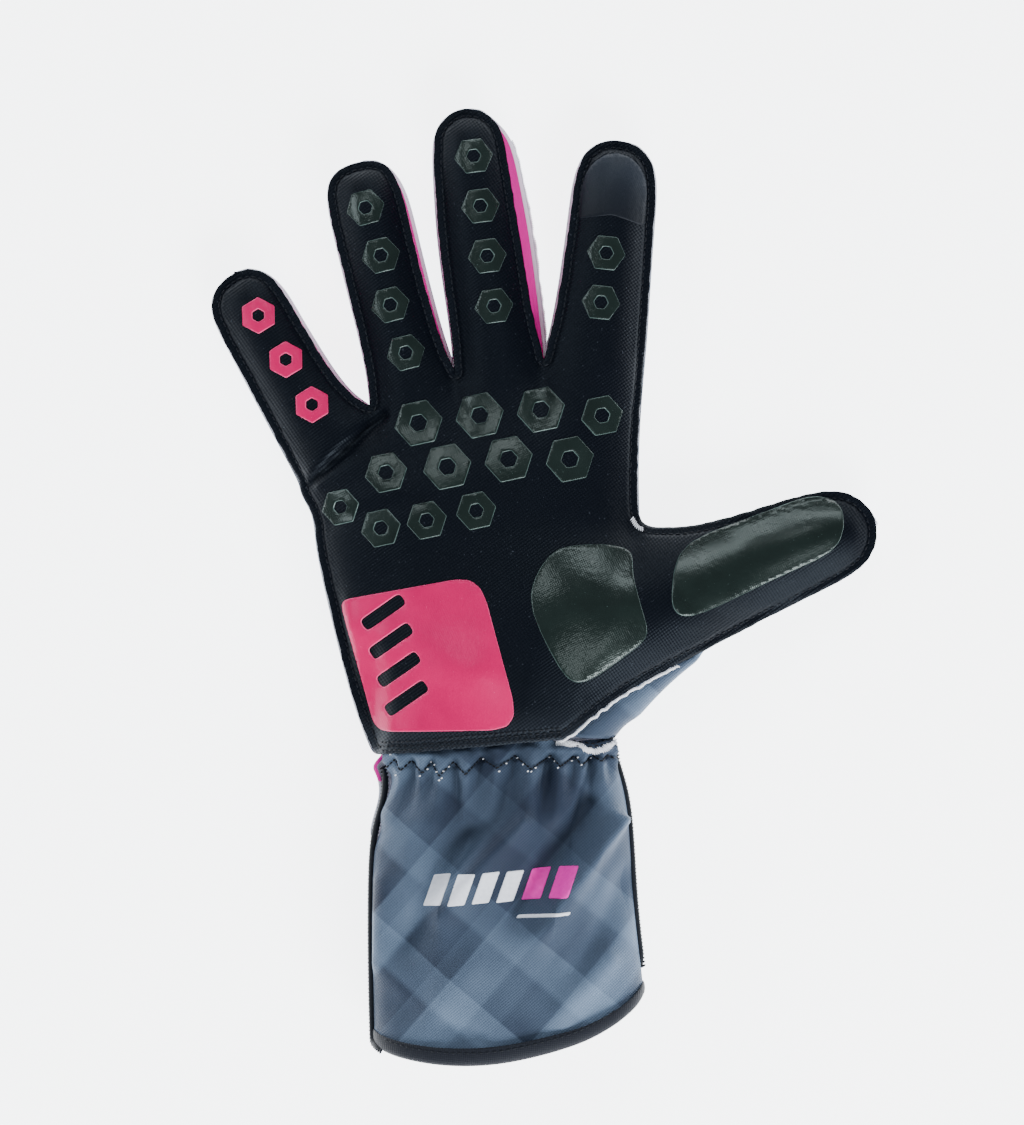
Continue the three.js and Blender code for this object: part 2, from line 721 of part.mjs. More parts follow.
// A finger wall: a channel of cloth from one fingertip down to the crotch and up to the next.
// Its flanges lie between those of the palm and the back, and it ends in the curve of each tip.
function wallSheet(first, second, palmSide, backSide) {
  const reach = fingerSteps + 2;
  const edge = (side, name, last) =>
    side.fingerRows[name].slice(0, reach).map((row) => (last ? row.at(-1) : row[0]));
  const path = (side) => [
    ...edge(side, first, true).reverse(),
    ...edge(side, second, false).slice(1),
  ];
  const tops = path(palmSide);
  const bottoms = path(backSide);
  const drop = palmCloth / 2 + gap + wallCloth / 2;
  const lift = backCloth / 2 + gap + wallCloth / 2;
  const inward = (points, i) => {
    const before = points[Math.max(i - 1, 0)];
    const after = points[Math.min(i + 1, points.length - 1)];
    const way = after.clone().sub(before).setZ(0).normalize();
    return vec(way.y, -way.x);
  };
  const sheet = new Sheet();
  sheet.patch(
    tops.map((top, i) => {
      const bottom = bottoms[i];
      const high = top.clone().add(vec(0, 0, -drop));
      const low = bottom.clone().add(vec(0, 0, lift));
      const highIn = high.clone().addScaledVector(inward(tops, i), seamFlange);
      const lowIn = low.clone().addScaledVector(inward(bottoms, i), seamFlange);
      const middle = mix(highIn, lowIn, 0.5).addScaledVector(inward(tops, i), -seamFlange * 0.25);
      return [high, highIn, middle, lowIn, low];
    }),
  );
  return sheet;
}

// The gauntlet cuff. Turn runs from 0 at the left seam over the top to 1 at the right seam, and
// on under the cuff to 2.
function cuffPoint(along, turn, inset) {
  const row = (key) => fromTable(cuffStations, "along", key, along);
  const open = smooth(along / 0.2);
  const edge = open * (sideSeamWidth + gap) + cuffCloth / 2 + inset;
  const left = row("left") * cuffWidth + edge;
  const right = row("right") * cuffWidth - edge;
  const [middle, half] = [(left + right) / 2, (right - left) / 2];
  const grown = row("rise");
  const over = turn <= 1;
  const angle = Math.PI * (1 - turn);
  const bow = Math.abs(Math.sin(angle)) ** 0.84;
  const x = middle + half * Math.cos(angle);
  const across = THREE.MathUtils.clamp((x - left) / (right - left), 0, 1);
  const seam = lerp(seamHeightWrist, cuffSeamHeight, grown);
  const top = fromTable(hemDrops, "across", "drop", across);
  const start = lerp(onPalm(corners.wristLeft).y, onPalm(corners.wristPalmRight).y, across);
  const end = -cuffLength * (over ? top : top - 0.02 * bow);
  const tuck = lerp(wristTuck, -gap * 4, smooth((across - 0.66) / 0.1));
  const y = lerp(start + tuck, end, along);
  const phase = 2 * Math.PI * gatherCount * (turn % 1);
  const deep = gatherDepth * row("gather") * Math.min(bow * 2, 1);
  const ripple = -(1 - Math.cos(phase + 1.5 * Math.sin(phase * 0.37))) * deep;
  if (!over) {
    const lap = lerp(backCloth + gap, 0, smooth((along - 0.05) / 0.05));
    const hemLift = (bindingGap + bindingCloth) * smooth((along - 0.62) / 0.24);
    const floor = lap + hemLift + cuffCloth / 2 + inset;
    const flat = Math.min(bow / 0.82, 1);
    const peek = row("peek") * cuffWidth * bow * smooth(0.5 - across);
    return vec(x - peek, y, lerp(seam, floor, flat));
  }
  const under = palmCloth / 2 + gap * 2.5 + cuffCloth / 2;
  const rise = lerp(wristRise - under, cuffRise, grown) - inset + row("swell") * cuffWidth;
  let fold = 0;
  for (const crease of cuffFolds) {
    const from = vec(crease.across, crease.along);
    const to = vec(crease.toAcross, crease.toAlong);
    const away = distanceToSegment(across, along, from, to) / crease.spread;
    fold += crease.depth * gatherDepth * Math.exp(-away * away);
  }
  fold *= 1 - smooth((along - 0.66) / 0.2);
  return vec(x, y, seam + (rise + ripple + fold) * bow);
}

function cuffSheet(from, to, columns) {
  const sheet = new Sheet();
  const shares = cuffStations.map((row) => row.along);
  const last = 1 - (bindingGap + bindingCloth) / cuffLength;
  sheet.patch(
    shares.map((along) => {
      const row = [];
      for (let j = 0; j <= columns; j++) {
        row.push(cuffPoint(along * last, lerp(from, to, j / columns), 0));
      }
      return row.reverse();
    }),
  );
  return sheet;
}

// A closed tube with a few sides along a run of points.
function tube(points, radius, sides) {
  const flat = [];
  const faces = [];
  points.forEach((point, i) => {
    const before = points[Math.max(i - 1, 0)];
    const after = points[Math.min(i + 1, points.length - 1)];
    const way = after.clone().sub(before).normalize();
    const side = way.clone().cross(vec(0, 0, 1)).normalize();
    const up = side.clone().cross(way);
    for (let j = 0; j < sides; j++) {
      const angle = (2 * Math.PI * j) / sides;
      const spot = point
        .clone()
        .addScaledVector(side, radius * Math.cos(angle))
        .addScaledVector(up, radius * Math.sin(angle));
      flat.push(...spot.toArray());
    }
  });
  for (let i = 0; i + 1 < points.length; i++) {
    for (let j = 0; j < sides; j++) {
      const [a, b] = [i * sides + j, i * sides + ((j + 1) % sides)];
      faces.push(a, b + sides, b, a, a + sides, b + sides);
    }
  }
  const end = (points.length - 1) * sides;
  for (let j = 1; j + 1 < sides; j++) {
    faces.push(0, j, j + 1, end, end + j + 1, end + j);
  }
  return geometryOf(flat, faces);
}

// Solids that can be cut, and a straight cutter with an outline in plan.
function solidOf(geometry) {
  const flat = geometry.index ? geometry.toNonIndexed() : geometry;
  const bare = geometryOf(Array.from(flat.attributes.position.array), null);
  const merged = mergeVertices(bare, 1e-4);
  return new wasm.Manifold(
    new wasm.Mesh({
      numProp: 3,
      vertProperties: new Float32Array(merged.attributes.position.array),
      triVerts: new Uint32Array(merged.index.array),
    }),
  );
}

function geometryFrom(solid) {
  const mesh = solid.getMesh();
  const flat = [];
  for (let i = 0; i < mesh.numVert; i++) {
    for (let j = 0; j < 3; j++) flat.push(mesh.vertProperties[i * mesh.numProp + j]);
  }
  return geometryOf(flat, Array.from(mesh.triVerts));
}

function prism(points, holes = []) {
  const outlineOf = (list) => list.map((point) => new THREE.Vector2(point.x, point.y));
  const shape = new THREE.Shape(outlineOf(points));
  shape.holes = holes.map((hole) => new THREE.Path(outlineOf(hole)));
  return solidOf(new THREE.ExtrudeGeometry(shape, { depth: gripCutterHeight, bevelEnabled: false }));
}

const glove = new THREE.Group();
function finish(color, roughness) {
  return new THREE.MeshStandardMaterial({ color, roughness, metalness: 0 });
}
const blackCloth = finish(0x10141c, 0.9);
const greyCloth = finish(0x54667c, 0.85);
const pinkCloth = finish(0xe04ea8, 0.85);
const whiteCord = finish(0xe8e8ea, 0.8);
const darkTape = finish(0x25282f, 0.85);
const pinkSilicone = finish(0xff598a, 0.35);
const clearSilicone = finish(0x2a3635, 0.3);

function addPiece(name, geometry, material) {
  const piece = new THREE.Mesh(geometry, material);
  piece.name = name;
  glove.add(piece);
  return piece;
}

// Palm panel: palm, palm faces of the fingers and thumb, cut in one.
const palm = handSheet(false, true);
addPiece("palm_panel", palm.sheet.solid(-palmCloth / 2, palmCloth / 2), blackCloth);

// Back panel.
const back = handSheet(true, false);
addPiece("back_panel", back.sheet.solid(-backCloth / 2, backCloth / 2), greyCloth);

// Back of the thumb with the gusset at its heel.
const thumbBack = thumbBackSheet(palm, back);
addPiece("thumb_back", thumbBack.sheet.solid(-backCloth / 2, backCloth / 2), greyCloth);

// Walls between the fingers.
for (let i = 0; i + 1 < fingerOrder.length; i++) {
  const [first, second] = [fingerOrder[i], fingerOrder[i + 1]];
  const wall = wallSheet(first, second, palm, back);
  addPiece("wall_" + first + "_" + second, wall.solid(-wallCloth / 2, wallCloth / 2), pinkCloth);
}

// Cuff: front and back, joined at the side seams.
const seamShare = (gap * 0.7) / cuffWidth;
const front = cuffSheet(seamShare, 1 - seamShare, gatherCount * gatherColumns);
addPiece("cuff_front", front.solid(-cuffCloth / 2, cuffCloth / 2), greyCloth);
const under = cuffSheet(1 + seamShare, 2 - seamShare, gatherCount * 2);
addPiece("cuff_back", under.solid(-cuffCloth / 2, cuffCloth / 2), greyCloth);

// Overlocked side seams along the joints of the two panels.
function sideSeam(isLeft) {
  const points = [];
  const [from, to, steps] = [0.13, 1 - (bindingWidth + gap * 2) / cuffLength, 14];
  for (let i = 0; i <= steps; i++) {
    const along = lerp(from, to, i / steps);
    const point = cuffPoint(along, isLeft ? 0 : 1, 0);
    const out = cuffCloth / 2 + gap + sideSeamWidth / 2;
    points.push(point.add(vec(isLeft ? -out : out, 0, 0)));
  }
  return tube(points, sideSeamWidth / 2, 6);
}
addPiece("side_seam_left", sideSeam(true), darkTape);
addPiece("side_seam_right", sideSeam(false), darkTape);

// Binding tape folded round the hem of both panels.
function hemBinding() {
  const stations = gatherCount * gatherColumns;
  const near = cuffCloth / 2 + bindingGap;
  const far = near + bindingCloth;
  const top = 1 - bindingWidth / cuffLength;
  const fold = 1 - bindingCloth / cuffLength;
  const section = [
    { along: top, inset: -far },
    { along: 1, inset: -far },
    { along: 1, inset: far },
    { along: top, inset: far },
    { along: top, inset: near },
    { along: fold, inset: near },
    { along: fold, inset: -near },
    { along: top, inset: -near },
  ];
  const flat = [];
  const faces = [];
  const sides = section.length;
  for (let i = 0; i < stations; i++) {
    for (const { along, inset } of section) {
      flat.push(...cuffPoint(along, (2 * i) / stations, inset).toArray());
    }
    const next = (i + 1) % stations;
    for (let j = 0; j < sides; j++) {
      const k = (j + 1) % sides;
      const [a, b, c, d] = [i * sides + j, i * sides + k, next * sides + k, next * sides + j];
      faces.push(a, b, c, a, c, d);
    }
  }
  return geometryOf(flat, faces);
}
addPiece("hem_binding", hemBinding(), darkTape);

// Piping along the gusset, beside the edge of the palm panel.
function pipingPoints() {
  const rows = palm.fingerRows.thumb.slice(0, 4).map((row) => row.at(-1));
  const path = curve(rows);
  const points = [];
  for (let i = 0; i <= 8; i++) {
    const share = lerp(0.02, 0.97, i / 8);
    const way = path.getTangentAt(share).setZ(0).normalize();
    const out = vec(way.y, -way.x).multiplyScalar(gap * 2.7 + pipingDiameter / 2);
    points.push(path.getPointAt(share).add(out));
  }
  return points;
}
addPiece("gusset_piping", tube(pipingPoints(), pipingDiameter / 2, 6), whiteCord);

// Silicone grips: the part of a thin layer over the palm panel that lies inside an outline.
const gripLow = palmCloth / 2 + gripGap;
const gripLayer = solidOf(palm.sheet.solid(gripLow, gripLow + gripThickness));

function grip(name, points, holes, material, cuts = []) {
  let body = gripLayer.intersect(prism(points, holes));
  for (const cut of cuts) body = body.subtract(prism(cut));
  body = body.simplify(gripTolerance);
  addPiece(name, geometryFrom(body), material);
}

function hexagon(centre, size, turn) {
  const points = [];
  for (let i = 0; i < 6; i++) {
    const angle = (Math.PI * i) / 3 + turn;
    points.push(centre.clone().add(vec(Math.cos(angle), Math.sin(angle)).multiplyScalar(size / 2)));
  }
  return points;
}

function stud(name, centre, share, turn, material) {
  const outer = hexagon(centre, studSize * share, turn);
  const inner = hexagon(centre, studHole * share, turn).reverse();
  grip(name, outer, [inner], material);
}

for (const name of fingerOrder) {
  const finger = fingers[name];
  const first = fingerOrder.indexOf(name);
  const root = mix(onPalm(corners[rootNames[first]]), onPalm(corners[rootNames[first + 1]]), 0.5);
  const lean = radians(finger.lean);
  fingerStuds[name].forEach((spot, i) => {
    const centre = root
      .clone()
      .add(vec(-Math.sin(lean), Math.cos(lean)).multiplyScalar(spot.along * finger.length))
      .add(vec(Math.cos(lean), Math.sin(lean)).multiplyScalar(spot.across * finger.width));
    const material = name === "little" ? pinkSilicone : clearSilicone;
    stud("stud_" + name + "_" + (i + 1), centre, spot.size, lean, material);
  });
}
palmStuds.forEach((spot, i) => {
  stud("stud_palm_" + (i + 1), onPalm(spot), spot.size, radians(palmStudTurn), clearSilicone);
});

function rounded(corners) {
  const found = [];
  const points = corners.map(onPalm);
  points.forEach((point, i) => {
    const { round } = corners[i];
    const before = points[(i + points.length - 1) % points.length];
    const after = points[(i + 1) % points.length];
    const start = mix(point, before, round);
    const end = mix(point, after, round);
    for (let k = 0; k <= 3; k++) {
      const share = k / 3;
      found.push(mix(mix(start, point, share), mix(point, end, share), share));
    }
  });
  return found.reverse();
}

function slots() {
  const { count, width, length, lean, fromEdge, above, below } = heelPadSlots;
  const [top, , , bottom] = pads.heel_pad.map(onPalm);
  const found = [];
  for (let i = 0; i < count; i++) {
    const share = (i + above) / (count - 1 + above + below);
    const start = mix(top, bottom, share).add(vec(fromEdge * palmWidth, 0));
    const way = vec(Math.cos(radians(lean)), Math.sin(radians(lean)));
    const side = vec(-way.y, way.x).multiplyScalar(width / 2);
    const end = start.clone().addScaledVector(way, length);
    found.push([
      start.clone().sub(side),
      end.clone().sub(side),
      end.clone().add(side),
      start.clone().add(side),
    ]);
  }
  return found;
}

for (const [name, padCorners] of Object.entries(pads)) {
  const isHeel = name === "heel_pad";
  const points = rounded(padCorners);
  grip(name, points, [], isHeel ? pinkSilicone : clearSilicone, isHeel ? slots() : []);
}

function touchPadOutline() {
  const finger = fingers.index;
  const root = mix(onPalm(corners.middleIndex), onPalm(corners.indexOuter), 0.5);
  const lean = radians(finger.lean);
  const up = vec(-Math.sin(lean), Math.cos(lean)).multiplyScalar(finger.length);
  const out = vec(Math.cos(lean), Math.sin(lean)).multiplyScalar(finger.width);
  const place = (along, across) =>
    root
      .clone()
      .addScaledVector(up, along)
      .addScaledVector(out, across - touchPad.across);
  const half = touchPad.width / 2;
  const points = [
    place(touchPad.from, -half),
    place(touchPad.from + touchPad.bend, 0),
    place(touchPad.from, half),
  ];
  for (let i = 0; i <= 8; i++) {
    const angle = (Math.PI * i) / 8;
    const along = lerp(touchPad.shoulder, touchPad.to, Math.sin(angle));
    points.push(place(along, half * Math.cos(angle)));
  }
  return points;
}
grip("index_touch_pad", touchPadOutline(), [], clearSilicone);

// The part's frame: the middle of its box at the floor.
const box = new THREE.Box3().setFromObject(glove);
const centre = box.getCenter(vec(0, 0, 0));
for (const piece of glove.children) {
  piece.geometry.translate(-centre.x, -centre.y, -box.min.z);
}

export default glove;
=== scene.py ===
"""A right-hand sim racing glove, lying on its back with the palm up.

The cloth panels are the fine surfaces of the frame's solids, with the wrinkles, seams, stitches
and silicone prints of the real glove. Units are metres.
"""

from math import cos, pi, radians, sin, tau

import bmesh
import bpy
import numpy as np
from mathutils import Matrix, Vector
from mathutils.bvhtree import BVHTree
from mathutils.geometry import delaunay_2d_cdt
from mathutils.kdtree import KDTree
from mathutils.noise import noise


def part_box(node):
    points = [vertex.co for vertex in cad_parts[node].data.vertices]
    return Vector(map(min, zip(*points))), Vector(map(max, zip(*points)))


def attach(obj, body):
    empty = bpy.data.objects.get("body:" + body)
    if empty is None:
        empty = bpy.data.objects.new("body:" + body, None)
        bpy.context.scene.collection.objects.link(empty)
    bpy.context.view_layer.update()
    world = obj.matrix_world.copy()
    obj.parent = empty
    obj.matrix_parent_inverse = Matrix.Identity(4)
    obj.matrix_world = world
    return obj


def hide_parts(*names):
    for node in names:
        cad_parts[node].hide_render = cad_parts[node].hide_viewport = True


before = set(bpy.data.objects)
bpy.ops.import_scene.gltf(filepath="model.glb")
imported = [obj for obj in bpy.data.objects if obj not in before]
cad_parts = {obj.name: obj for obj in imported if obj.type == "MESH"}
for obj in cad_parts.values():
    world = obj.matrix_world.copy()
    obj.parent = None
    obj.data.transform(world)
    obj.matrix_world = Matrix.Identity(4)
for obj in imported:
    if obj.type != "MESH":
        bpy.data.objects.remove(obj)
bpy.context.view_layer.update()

mm = 0.001


# The studio. A camera looks straight down on a plain pale floor, from far enough to keep the
# glove's proportions. Low soft boxes and a pale surround light it from all round, and two high
# ones give the silicone its glints.
photo_width = 1024
photo_height = 1125
pixel = 0.31 * mm
view_centre = Vector((-9.94 * mm, 6.66 * mm))
camera_height = 1500 * mm
focus_height = 15 * mm


def from_photo(across, down, height=0.0):
    """The place on the glove, in its own frame, that the photo shows at a pixel."""
    x = (across - photo_width / 2) * pixel + view_centre.x
    y = (photo_height / 2 - down) * pixel + view_centre.y
    return Vector((x, y, height))


def add_object(name, data):
    made = bpy.data.objects.new(name, data)
    bpy.context.scene.collection.objects.link(made)
    return made


camera = add_object("camera", bpy.data.cameras.new("camera"))
camera.data.sensor_fit = "HORIZONTAL"
camera.data.lens = camera.data.sensor_width * (camera_height - focus_height) / (photo_width * pixel)
camera.location = (*view_centre, camera_height)
bpy.context.scene.camera = camera

# Each soft box: where it stands, the size of its face, its power, and its red and green for a
# full blue.
soft_boxes = [
    {"name": "left", "at": (-1.05, 0.35, 0.75), "size": (0.9, 0.3), "power": 8, "tint": (0.9, 0.96)},
    {"name": "back", "at": (0.25, 1.15, 0.75), "size": (1.1, 0.3), "power": 9, "tint": (0.92, 0.97)},
    {"name": "front", "at": (0.5, -1.1, 0.7), "size": (1.0, 0.5), "power": 40, "tint": (0.94, 0.98)},
    {"name": "upper", "at": (-0.25, 0.7, 1.25), "size": (0.6, 0.22), "power": 3.5, "tint": (0.95, 0.98)},
    {"name": "lower", "at": (0.4, -0.45, 1.3), "size": (0.4, 0.22), "power": 2, "tint": (0.95, 0.98)},
]
for row in soft_boxes:
    lamp = add_object("light_" + row["name"], bpy.data.lights.new(row["name"], "AREA"))
    lamp.data.shape = "RECTANGLE"
    lamp.data.size, lamp.data.size_y = row["size"]
    lamp.data.energy = row["power"]
    lamp.data.color = (*row["tint"], 1.0)
    lamp.location = row["at"]
    lamp.rotation_euler = (-Vector(row["at"])).to_track_quat("-Z", "Y").to_euler()

surround = bpy.data.worlds.new("surround")
surround.use_nodes = True
surround.node_tree.nodes["Background"].inputs["Color"].default_value = (0.86, 0.93, 1.0, 1)
surround.node_tree.nodes["Background"].inputs["Strength"].default_value = 0.24
bpy.context.scene.world = surround


class Signal:
    """A socket of a shader tree that takes part in formulas."""

    def __init__(self, finish, socket):
        self.finish = finish
        self.socket = socket

    def math(self, operation, *values):
        settings = {"operation": operation}
        return self.finish.add("Math", settings, dict(enumerate(values)))

    def __add__(self, other):
        return self.math("ADD", self, other)

    def __radd__(self, other):
        return self.math("ADD", other, self)

    def __sub__(self, other):
        return self.math("SUBTRACT", self, other)

    def __rsub__(self, other):
        return self.math("SUBTRACT", other, self)

    def __mul__(self, other):
        return self.math("MULTIPLY", self, other)

    def __truediv__(self, other):
        return self.math("DIVIDE", self, other)

    def __abs__(self):
        return self.math("ABSOLUTE", self)

    def wave(self):
        """A sine with one period for each whole number."""
        return self.math("SINE", self * tau)

    def part(self):
        """What is left after the whole number."""
        return self.math("FRACT", self)

    def step(self, low, high):
        """0 up to low and 1 from high, with a soft run between."""
        settings = {"interpolation_type": "SMOOTHSTEP", "clamp": True}
        sockets = {"Value": self, "From Min": low, "From Max": high}
        return self.finish.add("MapRange", settings, sockets)

    def bell(self, middle, spread):
        """1 at the middle, down to 0 at a spread on either side."""
        return 1 - abs(self - middle).step(0, spread)


class Finish:
    """A material while it is made: a Principled shader and the nodes that feed it."""

    def __init__(self, name, **constants):
        self.material = bpy.data.materials.new(name)
        self.material.use_nodes = True
        self.tree = self.material.node_tree
        self.shader = self.tree.nodes["Principled BSDF"]
        self.set(**constants)

    def feed(self, value, socket):
        if isinstance(value, Signal):
            self.tree.links.new(value.socket, socket)
        elif isinstance(value, (tuple, list)) and len(value) == 3 and socket.type == "RGBA":
            socket.default_value = (*value, 1)
        else:
            socket.default_value = value

    def add(self, kind, settings=None, sockets=None, output=0):
        node = self.tree.nodes.new("ShaderNode" + kind)
        for name, value in (settings or {}).items():
            setattr(node, name, value)
        for name, value in (sockets or {}).items():
            self.feed(value, node.inputs[name])
        return Signal(self, node.outputs[output])

    def place(self, pitch=1.0, turn=0.0):
        """Object coordinates in units of a pitch, turned about the vertical."""
        coordinates = self.add("TexCoord", output="Object")
        scale = (1 / pitch,) * 3
        sockets = {"Vector": coordinates, "Rotation": (0, 0, turn), "Scale": scale}
        return self.add("Mapping", {}, sockets)

    def axes(self, vector):
        node = self.tree.nodes.new("ShaderNodeSeparateXYZ")
        self.feed(vector, node.inputs[0])
        return [Signal(self, output) for output in node.outputs]

    def speckle(self, size, detail=2.0):
        """Soft noise between 0 and 1, its lumps about a size across."""
        sockets = {"Vector": self.place(size), "Scale": 1.0, "Detail": detail}
        return self.add("TexNoise", {}, sockets)

    def mix(self, share, first, second):
        """A colour between two, by the numbers that the Mix node gives its colour sockets."""
        return self.add("Mix", {"data_type": "RGBA"}, {0: share, 6: first, 7: second}, 2)

    def attribute(self, name):
        return self.add("Attribute", {"attribute_name": name}, {}, "Fac")

    def bump(self, height, depth):
        """Relief of that real depth where the height signal goes from 0 to 1."""
        sockets = {"Height": height, "Distance": depth, "Strength": 1.0}
        self.feed(self.add("Bump", {}, sockets), self.shader.inputs["Normal"])

    def set(self, **values):
        for socket, value in values.items():
            self.feed(value, self.shader.inputs[socket.replace("_", " ")])


floor_half = 1200 * mm
floor_mesh = bpy.data.meshes.new("floor")
floor_corners = [(-1, -1), (1, -1), (1, 1), (-1, 1)]
floor_spots = [(x * floor_half, y * floor_half, 0) for x, y in floor_corners]
floor_mesh.from_pydata(floor_spots, [], [(0, 1, 2, 3)])
floor = add_object("floor", floor_mesh)
floor_finish = Finish("pale_floor", Roughness=0.7, Specular_IOR_Level=0.1, Emission_Strength=4.5)
floor_shade = floor_finish.speckle(120 * mm)
floor_finish.set(Base_Color=floor_finish.mix(floor_shade, (0.86, 0.87, 0.88), (0.9, 0.9, 0.9)))
floor_finish.set(Emission_Color=(0.97, 0.985, 1.0))
floor_mesh.materials.append(floor_finish.material)


# The palm panel: the palm and the palm faces of all five fingers, cut in one from black twill.
# Its edge is sewn outwards to the back and the walls, so the stitches lie beside a flat flange.
palm_cloth = 1.6 * mm
palm_spread = {"distance": 0.6 * mm, "reach": 2 * mm, "ripple": 0.3 * mm}
fine_levels = 3
seam_inset = 2.3 * mm
weld_distance = 0.02 * mm
ray_start = 200 * mm


def solid_shape(node):
    """A solid of the frame as a shape to edit, with the corners of its faces joined."""
    shape = bmesh.new()
    shape.from_mesh(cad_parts[node].data)
    bmesh.ops.remove_doubles(shape, verts=shape.verts, dist=weld_distance)
    return shape


def as_quads(shape):
    angles = {"angle_face_threshold": pi, "angle_shape_threshold": pi}
    bmesh.ops.join_triangles(shape, faces=shape.faces, **angles)


def crosses_wall(edge, thickness):
    """Whether an edge runs through the cloth, from one face of it to the other."""
    if abs(edge.calc_length() - thickness) > 0.004 * mm:
        return False
    way = (edge.verts[1].co - edge.verts[0].co).normalized()
    return all(any(abs(face.normal.dot(way)) > 0.75 for face in end.link_faces) for end in edge.verts)


def cloth_layer(node, thickness, towards):
    """The face of a cloth solid that looks towards a point, as quads with an open edge."""
    layer = solid_shape(node)
    rim_edges = [edge for edge in layer.edges if crosses_wall(edge, thickness)]
    cut_edge = {face for edge in rim_edges for face in edge.link_faces}
    bmesh.ops.delete(layer, geom=list(cut_edge), context="FACES")
    left = set(layer.faces)
    islands = []
    while left:
        front = [left.pop()]
        island = set(front)
        while front:
            near = {face for edge in front.pop().edges for face in edge.link_faces} & left
            left -= near
            island |= near
            front += near
        islands.append(island)
    target = Vector(towards)
    looks = [
        sum(face.calc_area() * face.normal.dot(target - face.calc_center_median()) for face in island)
        for island in islands
    ]
    kept = islands[looks.index(max(looks))]
    bmesh.ops.delete(layer, geom=[face for face in layer.faces if face not in kept], context="FACES")
    as_quads(layer)
    return layer


def fine_mesh(name, layer, levels):
    """A layer subdivided to a smooth surface, as a plain mesh."""
    coarse = bpy.data.meshes.new(name)
    layer.to_mesh(coarse)
    layer.free()
    helper = add_object(name, coarse)
    smoothing = helper.modifiers.new("smoothing", "SUBSURF")
    smoothing.levels = smoothing.render_levels = levels
    smoothing.boundary_smooth = "ALL"
    evaluated = helper.evaluated_get(bpy.context.evaluated_depsgraph_get())
    fine = bpy.data.meshes.new_from_object(evaluated)
    bpy.data.objects.remove(helper)
    bpy.data.meshes.remove(coarse)
    fine.name = name
    return fine


def loops_of(edges):
    """The places round each loop that edges form, in order."""
    around = {}
    for edge in edges:
        for vertex in edge.verts:
            around.setdefault(vertex, []).append(edge.other_vert(vertex))
    loops = []
    while around:
        loop = [next(iter(around))]
        while loop[-1] in around:
            onward = [vertex for vertex in around.pop(loop[-1]) if vertex in around]
            loop += onward[:1]
        loops.append(np.array([vertex.co[:] for vertex in loop]))
    return loops


def open_edge(mesh):
    """The places round a mesh's longest open edge, in order."""
    shape = bmesh.new()
    shape.from_mesh(mesh)
    loops = loops_of(edge for edge in shape.edges if edge.is_boundary)
    shape.free()
    return max(loops, key=len)


def positions(mesh):
    spots = np.empty(len(mesh.vertices) * 3, np.float32)
    mesh.vertices.foreach_get("co", spots)
    return spots.reshape(-1, 3).astype(float)


def normals(mesh):
    found = np.empty(len(mesh.vertices) * 3, np.float32)
    mesh.vertex_normals.foreach_get("vector", found)
    return found.reshape(-1, 3).astype(float)


def place_vertices(mesh, spots):
    mesh.vertices.foreach_set("co", spots.astype(np.float32).ravel())
    mesh.update()


def run_along(line):
    """How far along a line each of its places lies."""
    return np.append(0, np.cumsum(np.linalg.norm(np.diff(line, axis=0), axis=1)))


def outward_of(edge):
    """The direction in plan that points off the cloth at each place of its edge."""
    reach = 1.5 * mm
    closed = np.vstack([edge, edge[:1]])
    run = run_along(closed)
    ends = [
        [np.interp((run[:-1] + shift) % run[-1], run, closed[:, axis]) for axis in (0, 1)]
        for shift in (-reach, reach)
    ]
    ahead = np.transpose(np.subtract(ends[1], ends[0]))
    ahead /= np.linalg.norm(ahead, axis=1)[:, None] + 1e-9
    following = np.roll(edge, -1, 0)
    winding = np.sign(np.sum(edge[:, 0] * following[:, 1] - following[:, 0] * edge[:, 1]))
    return np.stack([ahead[:, 1], -ahead[:, 0], np.zeros(len(edge))], 1) * winding


def nearest_on_edge(spots, edge):
    """For each spot its distance to the edge and the number of the edge's nearest place."""
    tree = KDTree(len(edge))
    for number, place in enumerate(edge):
        tree.insert(place, number)
    tree.balance()
    found = [tree.find(spot) for spot in spots]
    return np.array([row[2] for row in found]), np.array([row[1] for row in found])


def unevenness(spots, size, seed):
    """Soft noise from -1 to 1 over a surface, its lumps about a size across."""
    shift = Vector((seed * 7.3, seed * 3.1, seed * 1.7))
    return np.array([noise(Vector(spot) / size + shift) for spot in spots])


def spread_edge(mesh, distance, reach, ripple=0.0):
    """Moves the cloth beside its edge outwards in plan, more or less by a ripple."""
    spots = positions(mesh)
    edge = open_edge(mesh)
    inset, number = nearest_on_edge(spots, edge)
    share = np.exp(-((inset / reach) ** 2))[:, None]
    distances = distance + unevenness(edge, 2.4 * mm, 11) * ripple
    place_vertices(mesh, spots + (outward_of(edge) * distances[:, None])[number] * share)


def crease_profile(spots, start, end, spread, end_spread=None):
    """1 on a line in plan and 0 far from it, with a spread at its start and one at its end."""
    first = np.array(start[:2])
    way = np.array(end[:2]) - first
    share = ((spots[:, :2] - first) @ way) / (way @ way)
    held = np.clip(share, 0, 1)
    away = np.linalg.norm(spots[:, :2] - first - held[:, None] * way, axis=1)
    width = spread + ((end_spread or spread) - spread) * held
    return np.exp(-((away / width) ** 2))


def creased(spots, creases):
    """How far a table of creases lifts each spot."""
    lift = np.zeros(len(spots))
    for crease in creases:
        ends = [from_photo(*crease[end]) for end in ("from", "to")]
        spreads = [crease["spread"] * mm, crease.get("end", crease["spread"]) * mm]
        lift += crease_profile(spots, *ends, *spreads) * crease["depth"] * mm
    return lift


def surface_of(mesh):
    return BVHTree.FromPolygons(
        [vertex.co for vertex in mesh.vertices],
        [tuple(face.vertices) for face in mesh.polygons],
    )


